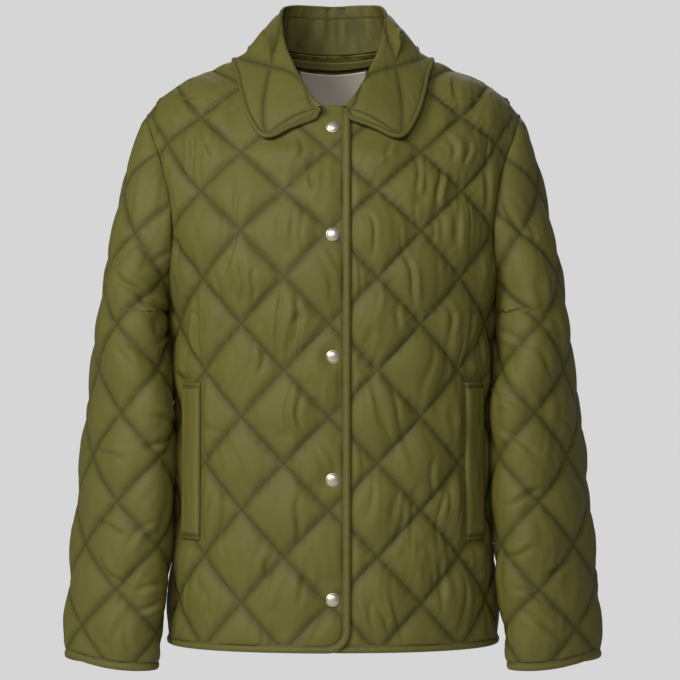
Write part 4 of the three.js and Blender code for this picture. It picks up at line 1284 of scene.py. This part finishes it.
def make_cuff_binding(name):
    """Round the cuff"""
    ring = sleeve_ring(CUFF_ROW)
    angles = np.linspace(math.pi, -math.pi, 141)
    places = on_sleeve(ring, angles)
    above = on_sleeve(sleeve_ring(CUFF_ROW + 0.05), angles)
    normals = unit(np.cross(np.gradient(places, axis=0), above - places))
    if normals[len(normals) // 2, 0] < 0:
        normals = -normals
    chain = (places, normals, away_from_cloth(places, normals, np.array([0.0, 0, 1])))
    for part in chain:
        part[-1] = part[0]
        if name == "right":
            part[:, 0] *= -1
    node = "cuff_binding_" + name
    section = binding_section(CUFF_BINDING)
    bind("bound_" + node, node, chain, section, (12, 0.6, BINDING_UNEVEN), closed=True)


# Collar


def neck_place(side, x):
    off = math.sqrt(max(0.0, 1 - (x / NECK_HALF) ** 2))
    if side is FRONT:
        return side.place(x, FRONT_NECK_Z * off)
    wanted = RIDGE_Y + (BACK_NECK_Y - RIDGE_Y) * off
    angle = bisect(lambda a: side.column(np.array(float(x)), a)[1] > wanted, 0, math.pi / 2)
    return side.column(np.array(float(x)), angle)


def lift_off(place, least):
    """Moves a place out until it stands clear of the body"""
    for _ in range(4):
        side = FRONT if place[1] < RIDGE_Y else BACK
        if place[2] < ridge_z(place[0]):
            at = side.place(place[0], place[2])
        else:
            at = np.array([place[0], RIDGE_Y, float(ridge_z(place[0]))])
        out = side.normals(at)
        clear = np.dot(place - at, out)
        if clear < least:
            place = place + out * (least - clear)
    return place


COLLAR_FINE = 16  # fine rows for each of the collar's coarse ones


def collar_profile(station):
    """Places from the neck seam over the fold to the outer edge"""
    neck_x, fold_x, fold_y, fold_z, edge_x, edge_z = station
    side = BACK if fold_y > RIDGE_Y else FRONT
    neck = neck_place(side, neck_x)
    over = TOP_LIFT * (1 - float(smoothstep(neck[0], PLAIN_EDGE, 64))) if side is FRONT else 0.0
    beside = NECK_SEAM_LIFT * float(smoothstep(neck[0], 52, 68))
    neck = neck + side.normals(neck) * (NECK_SEAM_LIFT + over + beside)
    fold = np.array([fold_x, fold_y, fold_z], float)
    edge = side.place(edge_x, edge_z)
    edge = edge + side.normals(edge) * COLLAR_PROUD
    outward = unit((edge - fold) * np.array([1, 1, 0]))
    roll = min(COLLAR_ROLL, np.linalg.norm(edge - fold) / 4)
    one = fold + outward * 2 * roll + np.array([0, 0, roll / 2])
    two = mix(edge, fold, 0.4) + outward * roll
    stand = STAND_ROWS * COLLAR_FINE
    places = [mix(neck, fold, t) for t in np.arange(stand) / stand]
    for t in np.linspace(0, 1, FALL_ROWS * COLLAR_FINE + 1):
        rest = 1 - t
        place = rest**3 * fold + 3 * rest**2 * t * one + 3 * rest * t**2 * two + t**3 * edge
        if t > 1 / FALL_ROWS:
            place = mix(place, lift_off(place, COLLAR_PROUD), float(smoothstep(t, 0.25, 0.5)))
        places.append(place)
    return np.array(places)


def through_stations(values, parts):
    """A smooth curve through values, with so many parts between each two"""
    first, last = 2 * values[:1] - values[1:2], 2 * values[-1:] - values[-2:-1]
    knots = np.concatenate([first, values, last])

    def gap(a, b):
        return np.maximum(np.sqrt(np.linalg.norm(b - a, axis=-1, keepdims=True)), 1e-4)

    out = []
    for before, start, end, after in zip(knots, knots[1:], knots[2:], knots[3:]):
        a, b, c = gap(before, start), gap(start, end), gap(end, after)
        slope = (start - before) / a - (end - before) / (a + b) + (end - start) / b
        last_slope = (end - start) / b - (after - start) / (b + c) + (after - end) / c
        for t in np.arange(parts) / parts:
            out.append(hermite(t, start, slope * b, end, last_slope * b))
    out.append(values[-1])
    return np.array(out)


STATION_FINE = 14
SHOULDER_STATION = 4
EDGE_SETTLED = 6.5  # how much closer the edge lies to the cloth over the shoulder
STAND_SEAM_LEVEL = -0.8
COLLAR_SEED, GATHER_SEED = 211, 215


def collar_grid():
    """Places of the whole collar, from its right end to its left one, and their normals"""
    profiles = np.array([collar_profile(station) for station in COLLAR_STATIONS])
    half = through_stations(profiles, STATION_FINE)
    normals = outward_normals(half, (0, -1), 1)
    over_shoulder = hump(np.arange(len(half)) / STATION_FINE - SHOULDER_STATION, 1.2)
    level = np.arange(half.shape[1]) / COLLAR_FINE - STAND_ROWS
    settled = EDGE_SETTLED * over_shoulder[:, None] * smoothstep(level, 0.8, FALL_ROWS)
    half = half - normals * settled[..., None]
    places = np.concatenate([half[:0:-1] * MIRROR, half])
    return places, outward_normals(places, (len(half) - 1, -1), 1)


def make_collar():
    """The collar: its stand up to the fold, and its fall from there to the edge"""
    places, normals = collar_grid()
    index = (np.arange(len(places)) - (len(places) - 1) // 2) / STATION_FINE
    levels = np.arange(places.shape[1]) / COLLAR_FINE - STAND_ROWS
    level, s = np.meshgrid(levels, index * COLUMN_STEP)
    height, painted_shade = quilt_relief(s, level, COLLAR_SEED, sizes())
    stand = 1 - smoothstep(level, -0.25, 0.35)
    gathers = Noise(GATHER_SEED).at(s / 5.5, level / 1.4)
    seam = hump(level - STAND_SEAM_LEVEL, 0.07)
    height = mix(0.4 * height, 1.1 * gathers * (1 - seam) - 0.9 * seam, stand)
    # Painted shade over the whole stand, darker in the gathers' hollows and at its seam
    painted_shade = mix(painted_shade, np.clip(0.75 - 0.6 * gathers, 0, 1.2) + 0.5 * seam, stand)
    run = np.array([run_along(line) for line in places])
    share = edge_share(run[:, -1:] - run) * edge_share(run)
    ends = np.minimum(index - index[0], index[-1] - index) * COLUMN_STEP
    share = share * edge_share(ends)[:, None] * (1 - 0.6 * hump(level, 0.35))
    places = places + normals * (height * share)[..., None]
    made = bmesh.new()
    faces = grid_mesh(made, places, (s, level * ROW_STEP), painted_shade)
    behind = lambda at: BACK_SIDE * (at.z < -0.02 and abs(at.x) < 0.03 and at.y > 0.05)
    turn_outward(made, faces, behind)
    piece = finish_panel("collar", made)


def make_collar_binding():
    """A narrow strip round the collar's outer edge and its two ends"""
    places, normals = collar_grid()
    down = range((STAND_ROWS + 1) * COLLAR_FINE, places.shape[1] - 1)
    edge = [((0, j), (1, j)) for j in down]
    edge += [((i, -1), (i, -2)) for i in range(len(places))]
    edge += [((-1, j), (-2, j)) for j in reversed(down)]
    points = [(places[at], normals[at], places[inner] - places[at]) for at, inner in edge]
    chain = even_chain(points)
    section = binding_section(COLLAR_BINDING, 0.6, 1.6)
    bind("bound_collar", "collar_binding", chain, section, (15, 0.3, 0.25))


# Small pieces


def make_welt(name):
    """The raised plain band of a pocket opening"""
    s_values = np.linspace(WELT_FROM, WELT_TO, 35)
    z_values = np.linspace(WELT_FOOT, WELT_TOP, 88)
    rows = (z_values - CHEST_Z) / ROW_STEP
    places, normals = stacked(body_frame(FRONT, row, s_values, 0.0) for row in rows)
    s, z = np.meshgrid(s_values, z_values)
    off_end = np.minimum(z - WELT_FOOT, WELT_TOP - z)
    off_side = np.minimum(s - WELT_FROM, WELT_TO - s)
    rounded = lambda off: np.sqrt(1 - np.clip(1 - off / WELT_ROUND, 0, 1) ** 2)
    stitched = 1 - 0.55 * hump(off_end - WELT_STITCHED, 1.6)
    uneven = Noise(WELT_SEEDS[name]).at(s / 9, z / 34)
    full = (WELT_THICK + 0.7 * uneven) * rounded(off_end) * rounded(off_side) * stitched
    places = places + normals * (0.2 + full)[..., None]
    if name == "right":
        places[..., 0] *= -1
    # Painted shade along the stitched dips near the welt's ends
    painted_shade = 1.4 * hump(off_end - WELT_STITCHED, 2.2)
    made = bmesh.new()
    faces = grid_mesh(made, places, (s, z), painted_shade)
    turn_outward(made, faces, lambda at: FRONT_SIDE)
    node = "pocket_welt_" + name
    finish_piece(node + "_band", made, binding_material(), [node], 1.0)


def inside_back(x, below):
    """Places inside the back and their normals, so far below the neck seam"""
    i = int(abs(x))
    part = abs(x) - i
    lengths = mix(BACK.lengths[i], BACK.lengths[i + 1], part)
    angles = mix(BACK.angles[i], BACK.angles[i + 1], part)
    neck = neck_place(BACK, abs(x))
    column = BACK.column(x + 0 * angles, angles)
    seam = np.interp(-neck[1], -column[:, 1], lengths)
    angle = np.interp(seam - below, lengths, angles)
    at = BACK.column(x + 0 * angle, angle)
    out = BACK.normals(at)
    return at - out * (WALL + INSIDE_GAP), -out


TAPE_RIBS = 2800


def tape_finish(name):
    finish = Finish(name, Roughness=0.7, Specular_IOR_Level=0.3)
    u, _ = finish.cloth_place()
    rib = (u * TAPE_RIBS).sine()
    finish.cloudy(colours().tape, finish.noise(30.0), 0.85, 1.25)
    finish.feed("Normal", finish.bump(rib, 0.0002, 0.6))
    return finish.material


def label_finish(name):
    finish = Finish(name, Roughness=0.75, Specular_IOR_Level=0.25, Sheen_Weight=0.1)
    weave = woven_height(finish, LABEL_THREAD)
    finish.cloudy(colours().label, finish.noise(60.0, 3.0), 0.93, 1.06)
    finish.feed("Normal", finish.bump(weave, 0.0002, 0.7))
    return finish.material


def make_inside_patch(name, half, top, foot, material, node):
    """A flat piece sewn inside the back of the neck"""
    columns = np.linspace(-half, half, half + 1)
    rows = np.linspace(foot, top, (foot - top) // 2 + 1)
    frames = [inside_back(x, rows) for x in columns]
    places = np.stack([at + 0.4 * out for at, out in frames], axis=1)
    s, below = np.meshgrid(columns, rows)
    places[..., 2] += 0.4 * Noise(PATCH_SEED).at(s / 14, below / 9)
    off = np.minimum(below - top, foot - below)
    made = bmesh.new()
    faces = grid_mesh(made, places, (s, -below), hump(off - 1.6, 0.6))
    turn_outward(made, faces, lambda at: FRONT_SIDE)
    piece = finish_piece(name, made, material, [node], 0.8, 1.0)


def metal_finish(name):
    finish = Finish(name, Metallic=0.7, Roughness=0.4)
    cloudy = finish.noise(420.0, 3.0)
    finish.cloudy(colours().metal, cloudy, 0.8, 1.1)
    finish.feed("Roughness", cloudy * 0.2 + 0.34)
    finish.feed("Normal", finish.bump(cloudy, 0.0001, 0.4))
    return finish.material


# Radius and height of the snap's cap, from its rim on the cloth to its middle
SNAP_PROFILE = (
    (7.5, 0.0),
    (7.5, 0.9),
    (7.3, 1.4),
    (6.9, 1.6),
    (6.5, 1.7),
    (6.2, 2.1),
    (5.6, 2.7),
    (4.6, 3.2),
    (3.2, 3.6),
    (1.6, 3.8),
    (0.0, 3.9),
)


SNAP_STEPS = 48


def make_snap(number, level):
    """One snap: a domed cap on the top front"""
    at = FRONT.place(0.0, level)
    out = FRONT.normals(at)
    place = (at + out * (TOP_LIFT + 0.3)) * MM
    made = bmesh.new()
    made.loops.layers.uv.new("cloth")
    outline = [made.verts.new((radius * MM, 0, height * MM)) for radius, height in SNAP_PROFILE]
    edges = [made.edges.new(pair) for pair in zip(outline, outline[1:])]
    bmesh.ops.spin(
        made,
        geom=outline + edges,
        cent=(0, 0, 0),
        axis=(0, 0, 1),
        angle=2 * math.pi,
        steps=SNAP_STEPS,
        use_merge=True,
    )
    bmesh.ops.remove_doubles(made, verts=made.verts[:], dist=1e-6)
    rim = [edge for edge in made.edges if edge.is_boundary]
    bmesh.ops.holes_fill(made, edges=rim, sides=0)
    bmesh.ops.recalc_face_normals(made, faces=made.faces[:])
    for face in made.faces:
        face.smooth = len(face.verts) < 5
    turn = Vector((0, 0, 1)).rotation_difference(Vector(out)).to_matrix()
    bmesh.ops.rotate(made, verts=made.verts[:], cent=(0, 0, 0), matrix=turn)
    bmesh.ops.translate(made, verts=made.verts[:], vec=Vector(place))
    node = f"snap_{number}"
    metal = known_material("snap_metal", metal_finish)
    finish_piece(node + "_cap", made, metal, [node])


# Stage

CAMERA_DISTANCE = 3.5
CAMERA_HEIGHT = -0.326
CAMERA_SIDE = 0.0078
FRAME_WIDE = 0.7616  # width of the picture at the jacket's middle
FLOOR_LEVEL = -1.35
BACKDROP = 0.672
WORLD_LIGHT = 0.24  # of the backdrop's brightness, as light on the jacket
# Name, place, size and power
LAMPS = (
    ("key_light", (-2.0, -2.4, 1.2), 1.2, 66.0),
    ("front_light", (-0.4, -3.1, 1.2), 1.0, 32.0),
    ("back_light", (0.3, 2.6, 1.4), 2.0, 22.0),
)


def make_stage():
    """Camera, soft lights and a plain pale floor"""
    scene = bpy.context.scene
    lens = bpy.data.cameras.new("camera")
    lens.sensor_width = 36
    lens.lens = 36 * CAMERA_DISTANCE / FRAME_WIDE
    camera = bpy.data.objects.new("camera", lens)
    camera.location = (CAMERA_SIDE, -CAMERA_DISTANCE, CAMERA_HEIGHT)
    camera.rotation_euler = (math.pi / 2, 0, 0)
    scene.collection.objects.link(camera)
    scene.camera = camera
    for name, place, size, power in LAMPS:
        lamp = bpy.data.lights.new(name, "AREA")
        lamp.energy = power
        lamp.size = size
        light = bpy.data.objects.new(name, lamp)
        light.location = place
        aim = Vector((0, 0, -0.35)) - Vector(place)
        light.rotation_euler = aim.to_track_quat("-Z", "Y").to_euler()
        scene.collection.objects.link(light)
    made = bmesh.new()
    bmesh.ops.create_circle(made, cap_ends=True, segments=96, radius=5.0)
    bmesh.ops.translate(made, verts=made.verts[:], vec=(0, 0, FLOOR_LEVEL))
    mesh = bpy.data.meshes.new("floor")
    made.to_mesh(mesh)
    made.free()
    floor = bpy.data.objects.new("floor", mesh)
    scene.collection.objects.link(floor)
    finish = Finish("floor_paint", Roughness=0.8)
    finish.cloudy(colours().floor, finish.noise(3.0), 0.98, 1.0)
    mesh.materials.append(finish.material)
    world = bpy.data.worlds.new("studio")
    world.use_nodes = True
    ground = world.node_tree.nodes["Background"]
    ground.inputs["Color"].default_value = tint((1, 1, 1), BACKDROP)
    seen = world.node_tree.nodes.new("ShaderNodeLightPath").outputs["Is Camera Ray"]
    strength = world.node_tree.nodes.new("ShaderNodeMapRange")
    strength.inputs["To Min"].default_value = WORLD_LIGHT
    world.node_tree.links.new(seen, strength.inputs["Value"])
    world.node_tree.links.new(strength.outputs["Result"], ground.inputs["Strength"])
    scene.world = world
    scene.view_settings.view_transform = "Standard"


# Operators


class MakesPieces:
    """What the operators of the jacket's pieces share"""

    def execute(self, context):
        self.make()
        return {"FINISHED"}


class MakeStage(MakesPieces, bpy.types.Operator):
    """Make the camera, lights and floor"""

    bl_idname = "jacket.stage"
    bl_label = "Stage"

    def make(self):
        make_stage()


class MakeFronts(MakesPieces, bpy.types.Operator):
    """Make the two quilted fronts"""

    bl_idname = "jacket.fronts"
    bl_label = "Fronts"

    def make(self):
        make_front("right")
        make_front("left")


class MakeBack(MakesPieces, bpy.types.Operator):
    """Make the quilted back"""

    bl_idname = "jacket.back"
    bl_label = "Back"

    def make(self):
        make_back()


class MakeSleeves(MakesPieces, bpy.types.Operator):
    """Make the two quilted sleeves"""

    bl_idname = "jacket.sleeves"
    bl_label = "Sleeves"

    def make(self):
        make_sleeve("right")
        make_sleeve("left")


class MakeCollar(MakesPieces, bpy.types.Operator):
    """Make the collar and its bound edge"""

    bl_idname = "jacket.collar"
    bl_label = "Collar"

    def make(self):
        make_collar()
        make_collar_binding()


class MakeBindings(MakesPieces, bpy.types.Operator):
    """Make the bindings of the fronts, the hem and the cuffs"""

    bl_idname = "jacket.bindings"
    bl_label = "Bindings"

    def make(self):
        make_back_binding()
        for name in ("right", "left"):
            make_front_binding(name)
            make_cuff_binding(name)


class MakeWelts(MakesPieces, bpy.types.Operator):
    """Make the raised bands of the pocket openings"""

    bl_idname = "jacket.welts"
    bl_label = "Pocket welts"

    def make(self):
        make_welt("right")
        make_welt("left")


class MakeNeckInside(MakesPieces, bpy.types.Operator):
    """Make the neck tape and the bare label"""

    bl_idname = "jacket.neck_inside"
    bl_label = "Neck tape and label"

    def make(self):
        tape = known_material("neck_tape_cloth", tape_finish)
        label = known_material("label_cloth", label_finish)
        make_inside_patch("neck_tape_strip", 54, 6, 17, tape, "neck_tape")
        make_inside_patch("label_bare", 38, 22, 68, label, "label")


class MakeSnaps(MakesPieces, bpy.types.Operator):
    """Make the five snaps"""

    bl_idname = "jacket.snaps"
    bl_label = "Snaps"

    def make(self):
        for number, level in enumerate(SNAP_LEVELS, 1):
            make_snap(number, level)


PIECE_OPERATORS = (
    MakeStage,
    MakeFronts,
    MakeBack,
    MakeSleeves,
    MakeCollar,
    MakeBindings,
    MakeWelts,
    MakeNeckInside,
    MakeSnaps,
)


class JacketPanel(bpy.types.Panel):
    """The jacket's sizes, colours and pieces"""

    bl_idname = "VIEW3D_PT_jacket"
    bl_label = "Quilted jacket"
    bl_space_type = "VIEW_3D"
    bl_region_type = "UI"
    bl_category = "Jacket"

    def draw(self, context):
        for group in (context.scene.jacket_sizes, context.scene.jacket_colours):
            for name in group.__annotations__:
                self.layout.prop(group, name)
        for operator in PIECE_OPERATORS:
            self.layout.operator(operator.bl_idname)


CLASSES = (QuiltSizes, JacketColours, *PIECE_OPERATORS, JacketPanel)


def register():
    for made in CLASSES:
        bpy.utils.register_class(made)
    bpy.types.Scene.jacket_sizes = PointerProperty(type=QuiltSizes)
    bpy.types.Scene.jacket_colours = PointerProperty(type=JacketColours)


def unregister():
    del bpy.types.Scene.jacket_colours
    del bpy.types.Scene.jacket_sizes
    for made in reversed(CLASSES):
        bpy.utils.unregister_class(made)


def main():
    register()
    for operator in PIECE_OPERATORS:
        group, name = operator.bl_idname.split(".")
        getattr(getattr(bpy.ops, group), name)()


if __name__ == "__main__":
    main()
